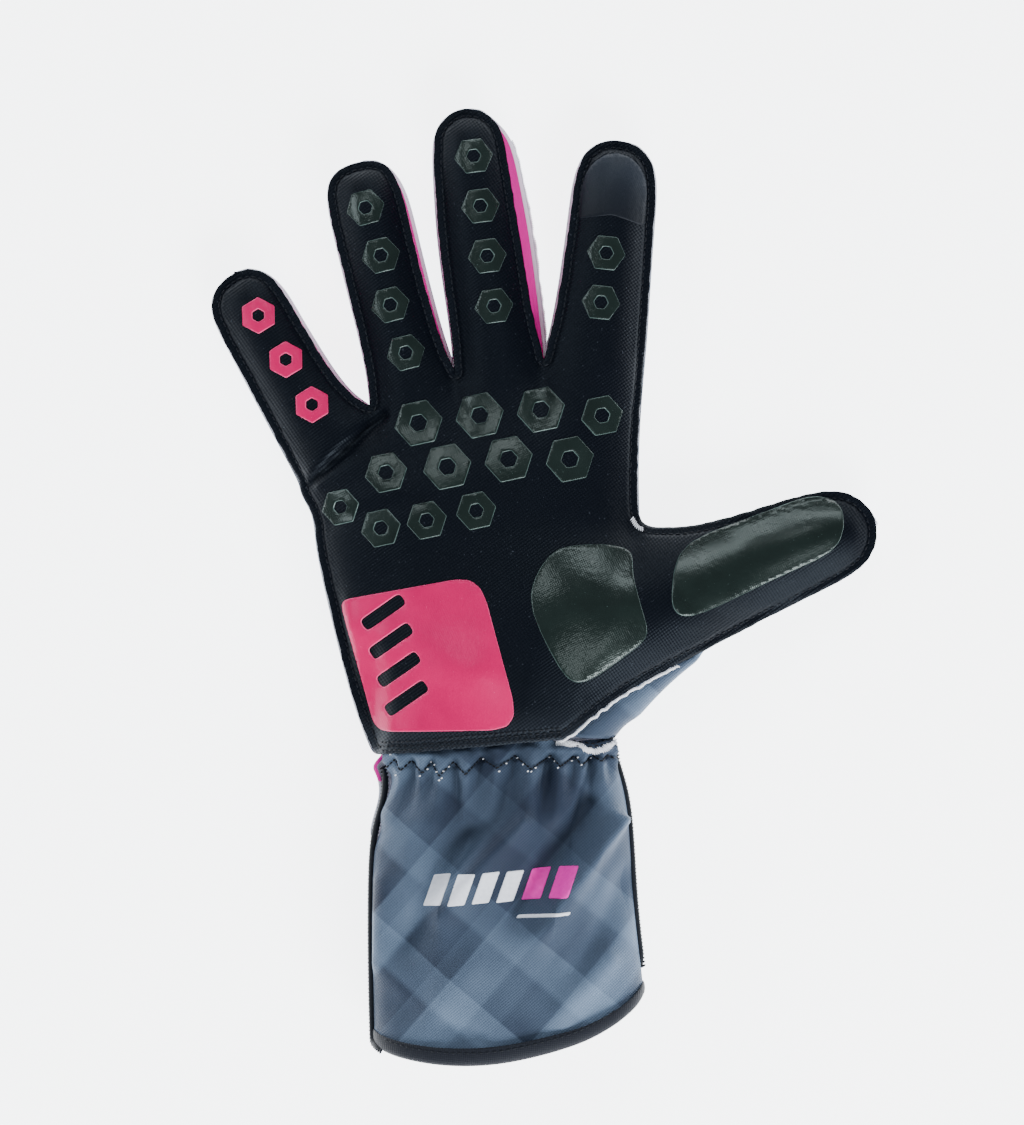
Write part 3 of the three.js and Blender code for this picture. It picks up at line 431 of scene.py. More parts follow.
def laid_on(surface, plan, lift):
    """Plan places dropped on a surface from above, and lifted off it."""
    found = []
    for place in plan:
        start = Vector((place[0], place[1], ray_start))
        spot, normal, _, _ = surface.ray_cast(start, Vector((0, 0, -1)))
        if spot is not None:
            normal = normal if normal.z > 0 else -normal
            found.append(spot + normal * lift)
    return found


def add_piece(name, mesh, finishes, node=None):
    """A visible piece on the glove's one body, which may stand for a solid."""
    for finish in finishes:
        mesh.materials.append(finish.material)
    piece = add_object(name, mesh)
    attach(piece, "root")
    if node:
        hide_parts(node)
    return piece


def cloth_piece(name, mesh, thickness, finishes, node, inset=None):
    """A cloth panel: the fine surface with its wall behind it, thinner where the inset is small."""
    mesh.shade_smooth()
    piece = add_piece(name, mesh, finishes, node)
    wall = piece.modifiers.new("wall", "SOLIDIFY")
    wall.thickness = thickness
    wall.offset = -1
    wall.material_offset = len(finishes) - 1
    if inset is not None:
        fullness = piece.vertex_groups.new(name="fullness")
        for number, depth in enumerate(inset):
            fullness.add([number], min(1, 0.3 + depth / (2 * mm)), "REPLACE")
        wall.vertex_group = fullness.name


def twill(finish, pitch, turn):
    """The relief of a twill: the threads that show as dots, in faint slanting ribs."""
    across, up, _ = finish.axes(finish.place(pitch, turn))
    ribs = (across + up).wave() * 0.5 + 0.5
    threads = across.wave() * up.wave() * 0.5 + 0.5
    return ribs * 0.3 + threads * 0.7


# Creases and swells of the palm, from one pixel of the photo to another. Their depths and
# spreads are in millimetres.
palm_creases = [
    {"from": (382, 416), "to": (306, 487), "depth": -1.5, "spread": 1.5},
    {"from": (396, 438), "to": (318, 480), "depth": 0.6, "spread": 4.0},
    {"from": (330, 520), "to": (420, 500), "depth": -0.5, "spread": 3.0},
    {"from": (640, 530), "to": (630, 570), "depth": -0.4, "spread": 3.0},
    {"from": (588, 590), "to": (588, 690), "depth": -0.15, "spread": 2.0},
    {"from": (455, 385), "to": (470, 430), "depth": -0.4, "spread": 3.0},
    {"from": (545, 372), "to": (540, 420), "depth": -0.4, "spread": 3.0},
    {"from": (352, 622), "to": (470, 668), "depth": 1.5, "spread": 7.5},
    {"from": (452, 676), "to": (484, 676), "depth": 0.8, "spread": 7.0},
]

palm_mesh = fine_mesh("palm_twill", cloth_layer("palm_panel", palm_cloth, (0, 0, 1)), fine_levels)
spread_edge(palm_mesh, **palm_spread)
palm_edge = open_edge(palm_mesh)
palm_spots = positions(palm_mesh)
palm_inset, _ = nearest_on_edge(palm_spots, palm_edge)
palm_lift = unevenness(palm_spots, 26 * mm, 1) * 0.45 * mm
palm_lift += unevenness(palm_spots, 9 * mm, 2) * 0.07 * mm
palm_lift += creased(palm_spots, palm_creases)
palm_lift *= np.clip((palm_inset - seam_inset) / (4 * mm), 0, 1)
stitch_groove = {"half_width": 0.7 * mm, "depth": 0.6 * mm}
beside_seam = (palm_inset - seam_inset) / stitch_groove["half_width"]
palm_lift -= np.exp(-(beside_seam ** 2)) * stitch_groove["depth"]
place_vertices(palm_mesh, palm_spots + normals(palm_mesh) * palm_lift[:, None])
palm_surface = surface_of(palm_mesh)

black_twill = Finish("black_twill", Roughness=0.42, Specular_IOR_Level=0.1)
black_twill.set(Specular_Tint=(0.7, 0.85, 1.0))
black_twill.set(Sheen_Weight=0.03, Sheen_Roughness=0.4, Sheen_Tint=(0.6, 0.75, 1.0))
weave = twill(black_twill, 1.25 * mm, radians(100))
wear = black_twill.speckle(16 * mm, 3.0)
lint = black_twill.speckle(0.8 * mm, 1.0).step(0.72, 0.78)
_, up_the_hand, _ = black_twill.axes(black_twill.place(mm))
# Painted highlight: a lit band along the wrist, where the twill is lighter and its weave shows more.
painted_wrist_light = 1 - up_the_hand.step(-50, -36)
shade = black_twill.mix(wear, (0.0004, 0.0007, 0.0018), (0.0012, 0.0018, 0.004))
shade = black_twill.mix(weave * weave * (painted_wrist_light * 0.4 + 0.6), shade, (0.006, 0.0075, 0.0125))
shade = black_twill.mix(painted_wrist_light * weave * 0.5, shade, (0.05, 0.058, 0.072))
black_twill.set(Base_Color=black_twill.mix(lint * 0.4, shade, (0.06, 0.07, 0.09)))
black_twill.bump(weave, 0.12 * mm)
cloth_piece(
    "palm_panel_cloth", palm_mesh, palm_cloth, [black_twill], "palm_panel", palm_inset
)


# The back panel and the back of the thumb with its gusset: printed grey-blue jersey, sewn round
# the edge to the palm. The inner face of the jersey is unprinted and nearly white.
back_cloth = 1.4 * mm
back_spread = {"distance": 1.0 * mm, "reach": 2 * mm}
gusset_push = (1.7 * mm, -1.5 * mm)


def banded_jersey(name, dark, light, thread):
    """Jersey with a print of crossing bands, each with a crisp edge and a soft one."""
    jersey = Finish(name, Roughness=0.6, Specular_IOR_Level=0.12)
    jersey.set(Sheen_Weight=0.06, Sheen_Roughness=0.4, Sheen_Tint=(0.75, 0.87, 1.0))
    across, up, _ = jersey.axes(jersey.place(mm, radians(40)))
    first = (across / 31 + 0.22).part()
    second = (up / 27 + 0.55).part()
    third = (across / 19 + 0.4).part()
    leaning = first.step(0, 0.03) * (1 - first.step(0.38, 0.46))
    crossing = second.step(0, 0.1) * (1 - second.step(0.42, 0.45))
    faint = third.step(0, 0.03) * (1 - third.step(0.3, 0.45))
    over_the_arm, up_the_arm, _ = jersey.axes(jersey.place(mm))
    # Painted shade together with print: the jersey darkens round the wrist, where the print is darker
    # and the gathers cast shade.
    print_and_painted_shade = up_the_arm.bell(-76, 58) * over_the_arm.bell(-4, 56)
    tone = leaning * 0.26 + crossing * 0.22 + faint * 0.08 + jersey.speckle(34 * mm, 2.0) * 0.8 - 0.22
    tone = tone * (1 - print_and_painted_shade * 0.82)
    knit = twill(jersey, 1.0 * mm, radians(95))
    between = jersey.mix(tone, dark, light)
    raised = jersey.mix(tone, between, thread)
    jersey.print = jersey.mix(knit * 0.5, between, raised)
    jersey.set(Base_Color=jersey.print)
    jersey.bump(knit, 0.13 * mm)
    return jersey


jersey_tones = [(0.012, 0.017, 0.034), (0.12, 0.175, 0.265), (0.24, 0.31, 0.41)]
grey_jersey = banded_jersey("grey_jersey", *jersey_tones)
plain_jersey = Finish("unprinted_jersey", Roughness=0.75, Specular_IOR_Level=0.15, Sheen_Weight=0.1)
plain_knit = twill(plain_jersey, 0.75 * mm, 0)
plain_jersey.set(Base_Color=plain_jersey.mix(plain_knit, (0.5, 0.5, 0.58), (0.78, 0.78, 0.84)))
plain_jersey.bump(plain_knit, 0.07 * mm)
white_thread = Finish("white_thread", Roughness=0.8, Specular_IOR_Level=0.2, Sheen_Weight=0.15)
fibres = white_thread.speckle(0.9 * mm, 2.0)
white_thread.set(Base_Color=white_thread.mix(fibres, (0.55, 0.56, 0.64), (0.95, 0.95, 0.97)))
white_thread.bump(fibres, 0.3 * mm)
jersey_faces = [grey_jersey, plain_jersey]

back_mesh = fine_mesh("back_jersey", cloth_layer("back_panel", back_cloth, (0, 0, -1)), fine_levels)
spread_edge(back_mesh, **back_spread)
back_edge = open_edge(back_mesh)
back_inset, _ = nearest_on_edge(positions(back_mesh), back_edge)
cloth_piece(
    "back_panel_cloth", back_mesh, back_cloth, jersey_faces, "back_panel", back_inset
)

thumb_layer = cloth_layer("thumb_back", back_cloth, (0.05, -0.02, -1))
thumb_mesh = fine_mesh("thumb_jersey", thumb_layer, fine_levels)
thumb_spots = positions(thumb_mesh)
gusset_fold = crease_profile(thumb_spots, from_photo(690, 660), from_photo(634, 706), 5 * mm)
thumb_spots[:, :2] += gusset_fold[:, None] * gusset_push
place_vertices(thumb_mesh, thumb_spots)
cloth_piece("thumb_back_cloth", thumb_mesh, back_cloth, jersey_faces, "thumb_back")


# The finger walls: three strips of magenta jersey, each from one fingertip down to the crotch
# and up the next finger, sewn between the palm and the back. They are drawn back behind the
# palm, except where the photo shows one beside the middle finger.
wall_cloth = 1.2 * mm
pink_jersey = Finish("pink_jersey", Roughness=0.65, Specular_IOR_Level=0.15)
pink_knit = twill(pink_jersey, 0.75 * mm, radians(80))
pink_jersey.set(Base_Color=pink_jersey.mix(pink_knit * 0.5, (0.5, 0.0, 0.2), (0.75, 0.02, 0.36)))
pink_jersey.bump(pink_knit, 0.07 * mm)
drawn_back = {"shown": 0.2 * mm, "hidden": 1.3 * mm, "flatter": 0.12}
for fingers in ["little_ring", "ring_middle", "middle_index"]:
    node = "wall_" + fingers
    low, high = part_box(node)
    wall_layer = cloth_layer(node, wall_cloth, (low + high) / 2)
    wall_layer.normal_update()
    for vertex, way in [(vertex, vertex.normal.copy()) for vertex in wall_layer.verts]:
        if fingers == "middle_index" and way.x > 0.2:
            vertex.co -= way * drawn_back["shown"]
        else:
            vertex.co -= way * drawn_back["hidden"]
            vertex.co.z += (low.z + high.z - 2 * vertex.co.z) * drawn_back["flatter"]
    wall_mesh = fine_mesh("wall_jersey", wall_layer, 2)
    cloth_piece("finger_" + node, wall_mesh, wall_cloth, [pink_jersey], node)


# The seams of the hand: black lockstitch round the palm panel, inside its cut edge, and two more
# rows that fasten its lower edge to the cuff.
overlock = Finish("black_thread", Roughness=0.5, Specular_IOR_Level=0.18)
strands = overlock.speckle(0.8 * mm, 1.0)
overlock.set(Base_Color=overlock.mix(strands, (0.002, 0.0025, 0.005), (0.012, 0.015, 0.022)))


def stitch_nodes():
    """A tree that turns each line of a mesh into a row of stitches."""
    tree = bpy.data.node_groups.new("stitch_rows", "GeometryNodeTree")
    socket = tree.interface.new_socket
    socket("Lines", in_out="INPUT", socket_type="NodeSocketGeometry")
    for name in ["Pitch", "Thread", "Length", "Lean"]:
        socket(name, in_out="INPUT", socket_type="NodeSocketFloat")
    socket("Finish", in_out="INPUT", socket_type="NodeSocketMaterial")
    socket("Stitches", in_out="OUTPUT", socket_type="NodeSocketGeometry")

    def add(kind, settings=None, sockets=None):
        node = tree.nodes.new(kind)
        for name, value in (settings or {}).items():
            setattr(node, name, value)
        for name, value in (sockets or {}).items():
            if isinstance(value, bpy.types.NodeSocket):
                tree.links.new(value, node.inputs[name])
            else:
                node.inputs[name].default_value = value
        return node.outputs

    given = add("NodeGroupInput")
    line = add("GeometryNodeMeshToCurve", {}, {"Mesh": given["Lines"]})
    level = add("GeometryNodeSetCurveNormal", {"mode": "Z_UP"}, {"Curve": line["Curve"]})
    spacing = {"Curve": level["Curve"], "Length": given["Pitch"]}
    places = add("GeometryNodeCurveToPoints", {"mode": "LENGTH"}, spacing)
    lean = add("ShaderNodeCombineXYZ", {}, {"Y": given["Lean"]})
    turned = add(
        "FunctionNodeRotateRotation",
        {"rotation_space": "LOCAL"},
        {"Rotation": places["Rotation"], "Rotate By": lean["Vector"]},
    )
    shape = {"X": given["Thread"], "Y": given["Thread"], "Z": given["Length"]}
    size = add("ShaderNodeCombineXYZ", {}, shape)
    stitch = add("GeometryNodeMeshUVSphere", {}, {"Segments": 6, "Rings": 4, "Radius": 0.5})
    row = {"Points": places["Points"], "Instance": stitch["Mesh"]}
    row |= {"Rotation": turned["Rotation"], "Scale": size["Vector"]}
    copies = add("GeometryNodeInstanceOnPoints", {}, row)
    real = add("GeometryNodeRealizeInstances", {}, {"Geometry": copies["Instances"]})
    smooth = add("GeometryNodeSetShadeSmooth", {}, {"Geometry": real["Geometry"], "Shade Smooth": True})
    colour = {"Geometry": smooth["Geometry"], "Material": given["Finish"]}
    painted = add("GeometryNodeSetMaterial", {}, colour)
    add("NodeGroupOutput", {}, {"Stitches": painted["Geometry"]})
    return tree


stitch_tree = stitch_nodes()


def stitch_rows(name, lines, finish, slot, pitch, thread, length, lean=0.0):
    """Rows of thread along lines: the pitch, the thread's thickness, a stitch's length and lean."""
    guide = bpy.data.meshes.new(name)
    spots = [spot for line in lines for spot in line]
    edges = []
    start = 0
    for line in lines:
        edges += [(start + i, start + i + 1) for i in range(len(line) - 1)]
        start += len(line)
    guide.from_pydata(spots, edges, [])
    helper = add_object(name, guide)
    sewing = helper.modifiers.new("sewing", "NODES")
    sewing.node_group = stitch_tree
    values = {"Pitch": pitch, "Thread": thread, "Length": length, "Lean": lean}
    values["Finish"] = finish.material
    for item in stitch_tree.interface.items_tree:
        if item.in_out == "INPUT" and item.name in values:
            sewing[item.identifier] = values[item.name]
    evaluated = helper.evaluated_get(bpy.context.evaluated_depsgraph_get())
    mesh = bpy.data.meshes.new_from_object(evaluated)
    mesh.name = name
    bpy.data.objects.remove(helper)
    add_piece(name, mesh, [] if mesh.materials else [finish])


def spaced(line, step):
    """Places at an even spacing along a line."""
    line = np.array([place[:] for place in line])
    run = run_along(line)
    at = np.linspace(0, run[-1], max(int(run[-1] / step), 2))
    return np.stack([np.interp(at, run, line[:, axis]) for axis in range(3)], 1)


def stretch_of(edge, *pixels):
    """The places of a closed edge from one pixel of the photo to another, the shorter way round."""
    ends = [np.array(from_photo(*place)[:2]) for place in pixels]
    first, last = [int(np.argmin(np.linalg.norm(edge[:, :2] - end, axis=1))) for end in ends]
    count = len(edge)
    onward = (last - first) % count
    step = 1 if onward <= count / 2 else -1
    length = onward if step == 1 else count - onward
    return [(first + step * i) % count for i in range(length + 1)]


def inside_edge(edge, numbers, depth):
    """Places of an edge moved onto its cloth."""
    return edge[numbers] - outward_of(edge)[numbers] * depth


stitch_lift = 0.1 * mm
all_round = np.arange(len(palm_edge))
hand_line = laid_on(palm_surface, inside_edge(palm_edge, all_round, seam_inset), stitch_lift)
hand_stitches = {"pitch": 2.2 * mm, "thread": 0.55 * mm, "length": 1.6 * mm}
closed_line = spaced(hand_line + hand_line[:1], 0.5 * mm)
stitch_rows("hand_seam_stitches", [closed_line], overlock, "palm_cloth", **hand_stitches)

wrist_numbers = stretch_of(palm_edge, (383, 750), (560, 738))
wrist_rows = []
for depth in (1.0 * mm, 3.5 * mm):
    course = laid_on(palm_surface, inside_edge(palm_edge, wrist_numbers, depth), stitch_lift)
    wrist_rows.append(spaced(course, 0.5 * mm))
wrist_stitches = {"pitch": 1.7 * mm, "thread": 0.6 * mm, "length": 1.4 * mm}
stitch_rows("wrist_seam_stitches", wrist_rows, overlock, "palm_cloth", **wrist_stitches)


# The jersey of the back is cut raw beside the wall of the middle finger, and its white fibres
# stand out along the edge.
fray_numbers = stretch_of(back_edge, (506, 140), (546, 366))
fray_line = spaced(inside_edge(back_edge, fray_numbers, 0.1 * mm), 0.5 * mm)
fray_line[:, 0] += unevenness(fray_line, 3 * mm, 6) * 0.5 * mm
fray_fibres = {"pitch": 0.6 * mm, "thread": 0.6 * mm, "length": 1.5 * mm, "lean": radians(60)}
stitch_rows("middle_finger_fray", [fray_line], white_thread, "back_cloth", **fray_fibres)


def rounded_cord(name, line, width, height, finish, slot, node):
    """A cord that follows a line, thins out towards both ends, and stands for a solid."""
    sides = 8
    line = np.asarray(line)
    places = np.arange(len(line))
    thin = np.minimum(places, places[::-1])[:, None] / 4
    full = np.sqrt(np.clip(thin, 0.08, 1))
    way = np.gradient(line, axis=0)
    way /= np.linalg.norm(way, axis=1)[:, None]
    side = np.cross(way, (0, 0, 1))
    side /= np.linalg.norm(side, axis=1)[:, None]
    up = np.cross(side, way)
    rings = [
        line + (side * cos(turn) * width + up * sin(turn) * height) / 2 * full
        for turn in np.linspace(0, tau, sides, endpoint=False)
    ]
    spots = np.stack(rings, 1).reshape(-1, 3)
    last = (len(line) - 1) * sides
    faces = []
    for ring in range(0, last, sides):
        for j in range(sides):
            onward = (j + 1) % sides
            faces.append((ring + j, ring + onward, ring + sides + onward, ring + sides + j))
    faces += [tuple(range(sides))[::-1], tuple(range(last, last + sides))]
    mesh = bpy.data.meshes.new(name)
    mesh.from_pydata(spots.tolist(), [], faces)
    shape = bmesh.new()
    shape.from_mesh(mesh)
    bmesh.ops.recalc_face_normals(shape, faces=shape.faces)
    shape.to_mesh(mesh)
    shape.free()
    mesh.shade_smooth()
    add_piece(name, mesh, [finish], node)


# The cuff: a front and a back panel of the printed jersey. An elastic tape, sewn on with a
# zigzag, gathers them at the wrist into folds that run out over the gauntlet.
cuff_cloth = 1.2 * mm
cuff_spread = {"distance": 0.7 * mm, "reach": 5 * mm}
wrist_draw = 1.5 * mm
margin_showing = 4.2 * mm
gather_spreads = (1.3 * mm, 4.6 * mm)
zigzag_groove = {"half_width": 0.7 * mm, "depth": 0.9 * mm}

# The corners of the zigzag as pixels of the photo. Under each upper corner a fold runs down, as
# far as reach and leaning by lean, both in pixels, and depth in millimetres.
upper_corners = [
    {"at": (396, 758), "reach": 50, "lean": -6, "depth": 1.4},
    {"at": (412, 759), "reach": 62, "lean": -4, "depth": 2.8},
    {"at": (432, 760), "reach": 50, "lean": -8, "depth": 2.1},
    {"at": (454, 760), "reach": 90, "lean": 2, "depth": 3.32},
    {"at": (481, 756), "reach": 70, "lean": -16, "depth": 2.27},
    {"at": (515, 754), "reach": 90, "lean": -22, "depth": 2.45},
    {"at": (550, 754), "reach": 100, "lean": -18, "depth": 3.32},
    {"at": (574, 754), "reach": 60, "lean": -2, "depth": 2.27},
    {"at": (592, 754), "reach": 80, "lean": -10, "depth": 3.5},
    {"at": (606, 754), "reach": 60, "lean": 8, "depth": 2.27},
]
lower_corners = [
    (388, 766), (401, 770), (423, 771), (440, 774), (466, 772), (497, 766),
    (531, 767), (560, 765), (581, 764), (601, 760), (612, 757),
]

# Long soft folds of the gauntlet, as those of the palm, with a spread at either end.
cuff_folds = [
    {"from": (590, 800), "to": (520, 905), "depth": -5.4, "spread": 3.8, "end": 6},
    {"from": (616, 820), "to": (543, 925), "depth": 5.2, "spread": 2.4, "end": 4.4},
    {"from": (521, 822), "to": (440, 905), "depth": 4.8, "spread": 3.6, "end": 5.5},
    {"from": (470, 835), "to": (408, 935), "depth": -4.2, "spread": 3.8, "end": 5.5},
    {"from": (606, 955), "to": (560, 1006), "depth": 2.4, "spread": 3.6, "end": 5},
    {"from": (626, 880), "to": (580, 965), "depth": -2.6, "spread": 4.4, "end": 5},
    {"from": (395, 1000), "to": (478, 1030), "depth": -1.4, "spread": 4, "end": 3},
    {"from": (385, 880), "to": (380, 960), "depth": 1.8, "spread": 3.4, "end": 3.4},
    {"from": (470, 960), "to": (430, 1010), "depth": 1.6, "spread": 5, "end": 5},
]

cuff_layer = cloth_layer("cuff_front", cuff_cloth, (0, 0, 1))
upright = {"use_axis_x": False, "use_axis_y": False, "use_axis_z": True}
for _ in range(4):
    bmesh.ops.smooth_vert(cuff_layer, verts=cuff_layer.verts, factor=0.5, **upright)
cuff_mesh = fine_mesh("cuff_front_jersey", cuff_layer, fine_levels)
spread_edge(cuff_mesh, **cuff_spread)
cuff_edge = open_edge(cuff_mesh)
cuff_spots = positions(cuff_mesh)
cuff_inset, _ = nearest_on_edge(cuff_spots, cuff_edge)
drawn_in = crease_profile(cuff_spots, from_photo(388, 776), from_photo(372, 828), 4 * mm)
cuff_spots[:, 0] += drawn_in * wrist_draw
cuff_lift = unevenness(cuff_spots, 30 * mm, 4) * 0.8 * mm + creased(cuff_spots, cuff_folds)
cuff_lift *= np.clip(cuff_inset / (5 * mm), 0, 1)
gathers = np.zeros(len(cuff_spots))
for corner in upper_corners:
    across, down = corner["at"]
    top = from_photo(across, down + 3)
    end = from_photo(across + corner["lean"], down + corner["reach"])
    fold = crease_profile(cuff_spots, top, end, *gather_spreads)
    fade = 1 - np.clip((top.y - cuff_spots[:, 1]) / (corner["reach"] * pixel), 0, 1)
    gathers -= fold * fade ** 0.8 * corner["depth"] * mm
for across, down in lower_corners:
    bulge = {"from": (across, down - 14), "to": (across, down - 4), "depth": 1.9, "spread": 2.6}
    ridge = {"from": (across, down + 6), "to": (across - 4, down + 46), "depth": 1.4, "spread": 2}
    gathers += creased(cuff_spots, [bulge, ridge | {"end": 4}])
cuff_lift += gathers * np.clip(cuff_inset / (2.5 * mm), 0, 1)
zigzag = [lower_corners[0]]
for upper, lower in zip(upper_corners, lower_corners[1:]):
    zigzag += [upper["at"], lower]
zigzag_plan = [from_photo(*corner) for corner in zigzag]
groove = np.zeros(len(cuff_spots))
for first, second in zip(zigzag_plan, zigzag_plan[1:]):
    profile = crease_profile(cuff_spots, first, second, zigzag_groove["half_width"])
    groove = np.maximum(groove, profile)
cuff_lift -= groove * zigzag_groove["depth"]
place_vertices(cuff_mesh, cuff_spots + normals(cuff_mesh) * cuff_lift[:, None])
cuff_surface = surface_of(cuff_mesh)
cloth_piece("cuff_front_cloth", cuff_mesh, cuff_cloth, jersey_faces, "cuff_front")

# The back panel shows past the left side seam at the wrist, where its print ends in a bare
# margin with a pink tab.
under_layer = cloth_layer("cuff_back", cuff_cloth, (0, 0, -1))
under_mesh = fine_mesh("cuff_back_jersey", under_layer, fine_levels)
spread_edge(under_mesh, **cuff_spread)
under_spots = positions(under_mesh)
shown = crease_profile(under_spots, from_photo(380, 770), from_photo(366, 826), 4.5 * mm)
under_spots[:, 0] -= shown * margin_showing
place_vertices(under_mesh, under_spots)
under_jersey = banded_jersey("under_jersey", *jersey_tones)
beside, upward, _ = under_jersey.axes(under_jersey.place(mm))
margin = (1 - beside.step(-47.7, -46.2)) * upward.step(-78, -75)
tab = upward.step(-61.5, -60.9)
bare = under_jersey.mix(margin, under_jersey.print, (0.6, 0.62, 0.72))
under_jersey.set(Base_Color=under_jersey.mix(tab * margin, bare, (0.9, 0.03, 0.42)))
under_faces = [under_jersey, plain_jersey]
cloth_piece("cuff_back_cloth", under_mesh, cuff_cloth, under_faces, "cuff_back")

zigzag_line = laid_on(cuff_surface, spaced(zigzag_plan, 0.4 * mm), stitch_lift)
elastic_stitches = {"pitch": 1.6 * mm, "thread": 0.65 * mm, "length": 1.4 * mm}
stitch_rows("elastic_stitches", [zigzag_line], overlock, "cuff_cloth", **elastic_stitches)

# Ends of the elastic's white rubber threads, that come up through the zigzag, as pixels.
thread_ends = [
    (391, 753), (397, 774), (421, 774), (428, 768), (432, 760), (436, 763), (438, 770), (444, 770),
    (440, 778), (442, 776), (449, 765), (484, 757), (499, 769), (506, 762), (518, 756), (523, 763),
    (531, 769), (528, 769), (535, 766), (549, 755), (555, 760), (558, 766), (571, 760), (578, 756),
    (581, 764), (591, 757),
]
end_lines = []
for across, down in thread_ends:
    places = [from_photo(across, down), from_photo(across + 1, down - 2)]
    end_lines.append(laid_on(cuff_surface, places, 0.3 * mm))
white_ends = {"pitch": 2 * mm, "thread": 0.5 * mm, "length": 0.75 * mm, "lean": radians(30)}
stitch_rows("elastic_ends", end_lines, white_thread, "cuff_cloth", **white_ends)


# The hem binding: a black tape folded round the lower edge of both cuff panels, and sewn
# through near its upper edge.
tape = Finish("hem_tape", Roughness=0.6, Specular_IOR_Level=0.15, Sheen_Weight=0.04)
tape_ribs = twill(tape, 0.9 * mm, radians(50))
tape.set(Base_Color=tape.mix(tape_ribs * 0.6, (0.004, 0.005, 0.009), (0.018, 0.021, 0.031)))
tape.bump(tape_ribs, 0.1 * mm)
hem_shape = solid_shape("hem_binding")
as_quads(hem_shape)
hem_mesh = fine_mesh("hem_tape", hem_shape, 2)
hem_mesh.shade_smooth()
add_piece("hem_tape", hem_mesh, [tape], "hem_binding")

hem_numbers = stretch_of(cuff_edge, (384, 1042), (645, 975))
hem_course = laid_on(surface_of(hem_mesh), inside_edge(cuff_edge, hem_numbers, 3.4 * mm), 0.05 * mm)
hem_stitches = {"pitch": 2.1 * mm, "thread": 0.45 * mm, "length": 1.6 * mm}
stitch_rows("hem_stitches", [spaced(hem_course, 0.5 * mm)], overlock, "binding_tape", **hem_stitches)


# The side seams of the cuff: the edges of both panels, overlocked together with black thread
# into a stiff ridge down either side.
side_seams = [
    {"name": "left", "from": (392, 766), "to": (382, 1046), "outward": 0.5},
    {"name": "right", "from": (618, 752), "to": (644, 966), "outward": 0.3},
]
for seam in side_seams:
    numbers = stretch_of(cuff_edge, seam["from"], seam["to"])
    course = inside_edge(cuff_edge, numbers, -seam["outward"] * mm)
    course[:, 2] -= 0.4 * mm
    course = spaced(course, 1 * mm)
    name = "side_seam_" + seam["name"]
    rounded_cord(name + "_core", course, 2.1 * mm, 2.2 * mm, overlock, "binding_tape", name)
    wraps = {"pitch": 1.15 * mm, "thread": 0.95 * mm, "length": 2.7 * mm, "lean": radians(74)}
    stitch_rows(name + "_wraps", [course], overlock, "binding_tape", **wraps)


# The gusset's piping: a white cord sewn between the palm and the gusset at the heel of the
# thumb, with the raw white edges of the jersey where the gusset meets the cuff.
piping_numbers = stretch_of(palm_edge, (560, 741), (676, 666))
piping_course = inside_edge(palm_edge, piping_numbers, -0.55 * mm)
piping_course[:, 2] -= 0.35 * mm
piping_course = spaced(piping_course, 0.7 * mm)
piping_course += np.outer(unevenness(piping_course, 1.3 * mm, 8), (0.3 * mm, -0.3 * mm, 0.3 * mm))
gusset_cord = [piping_course, 0.9 * mm, 1.1 * mm, white_thread, "piping_cord", "gusset_piping"]
rounded_cord("gusset_cord", *gusset_cord)
cord_fibres = {"pitch": 0.7 * mm, "thread": 0.5 * mm, "length": 1.5 * mm, "lean": radians(50)}
stitch_rows("gusset_cord_fibres", [piping_course], white_thread, "piping_cord", **cord_fibres)

gusset_surfaces = [surface_of(thumb_mesh), cuff_surface, palm_surface]


def on_top(places, lift):
    """Pixels of the photo as places on whichever cloth lies highest there."""
    found = []
    for place in places:
        plan = from_photo(*place)
        spots = [spot for surface in gusset_surfaces for spot in laid_on(surface, [plan], lift)]
        if spots:
            found.append(max(spots, key=lambda spot: spot.z))
    return found


def through(places, step):
    """Pixels on a line through a few pixels, at an even step."""
    line = spaced([(across, down, 0) for across, down in places], step)
    return [(across, down) for across, down, _ in line]


raw_edge = [(556, 742), (566, 743), (577, 744), (586, 749), (596, 750), (606, 747), (615, 742)]
raw_course = spaced(on_top(through(raw_edge, 2), 0.3 * mm), 0.6 * mm)
frayed = [raw_course + (0, shift * mm, 0) for shift in (0.3, -0.3)]
for number, course in enumerate(frayed):
    course[:, 1] += unevenness(course, 0.9 * mm, 9 + number) * 0.9 * mm
raw_fibres = {"pitch": 0.55 * mm, "thread": 0.5 * mm, "length": 1.7 * mm, "lean": radians(70)}
stitch_rows("gusset_raw_edge", frayed, white_thread, "piping_cord", **raw_fibres)
curl = [(631, 519), (634, 524), (637, 528), (642, 530)]
curl_course = spaced(on_top(through(curl, 1), 0.5 * mm), 0.4 * mm)
stitch_rows("thumb_crotch_edge", [curl_course], white_thread, "piping_cord", **raw_fibres)
closing_rows = [
    [(568, 739), (580, 741), (592, 743), (604, 740), (614, 736)],
    [(578, 745), (590, 746), (604, 744), (615, 740)],
]
closing_lines = [spaced(on_top(through(row, 2), 0.2 * mm), 0.5 * mm) for row in closing_rows]
closing_stitches = {"pitch": 1.9 * mm, "thread": 0.5 * mm, "length": 1.5 * mm}
stitch_rows("gusset_stitches", closing_lines, overlock, "back_cloth", **closing_stitches)


# The grips: silicone printed and cured on the palm's twill. Hexagonal studs on the fingers and
# the upper palm, two clear pads on the thumb, a pink pad with slots on the heel, and a film for
# touch screens on the tip of the index finger.
print_relief = {"thickness": 0.35 * mm, "rounding": 0.3 * mm}


def outline_loops(node):
    """The outlines of a grip in plan, from the edges of the face that looks up."""
    shape = solid_shape(node)
    border = []
    for edge in shape.edges:
        facing = [face.normal.z > 0.25 for face in edge.link_faces]
        if any(facing) and not all(facing):
            border.append(edge)
    loops = loops_of(border)
    shape.free()
    return [loop[:, :2] for loop in loops if len(loop) > 2]


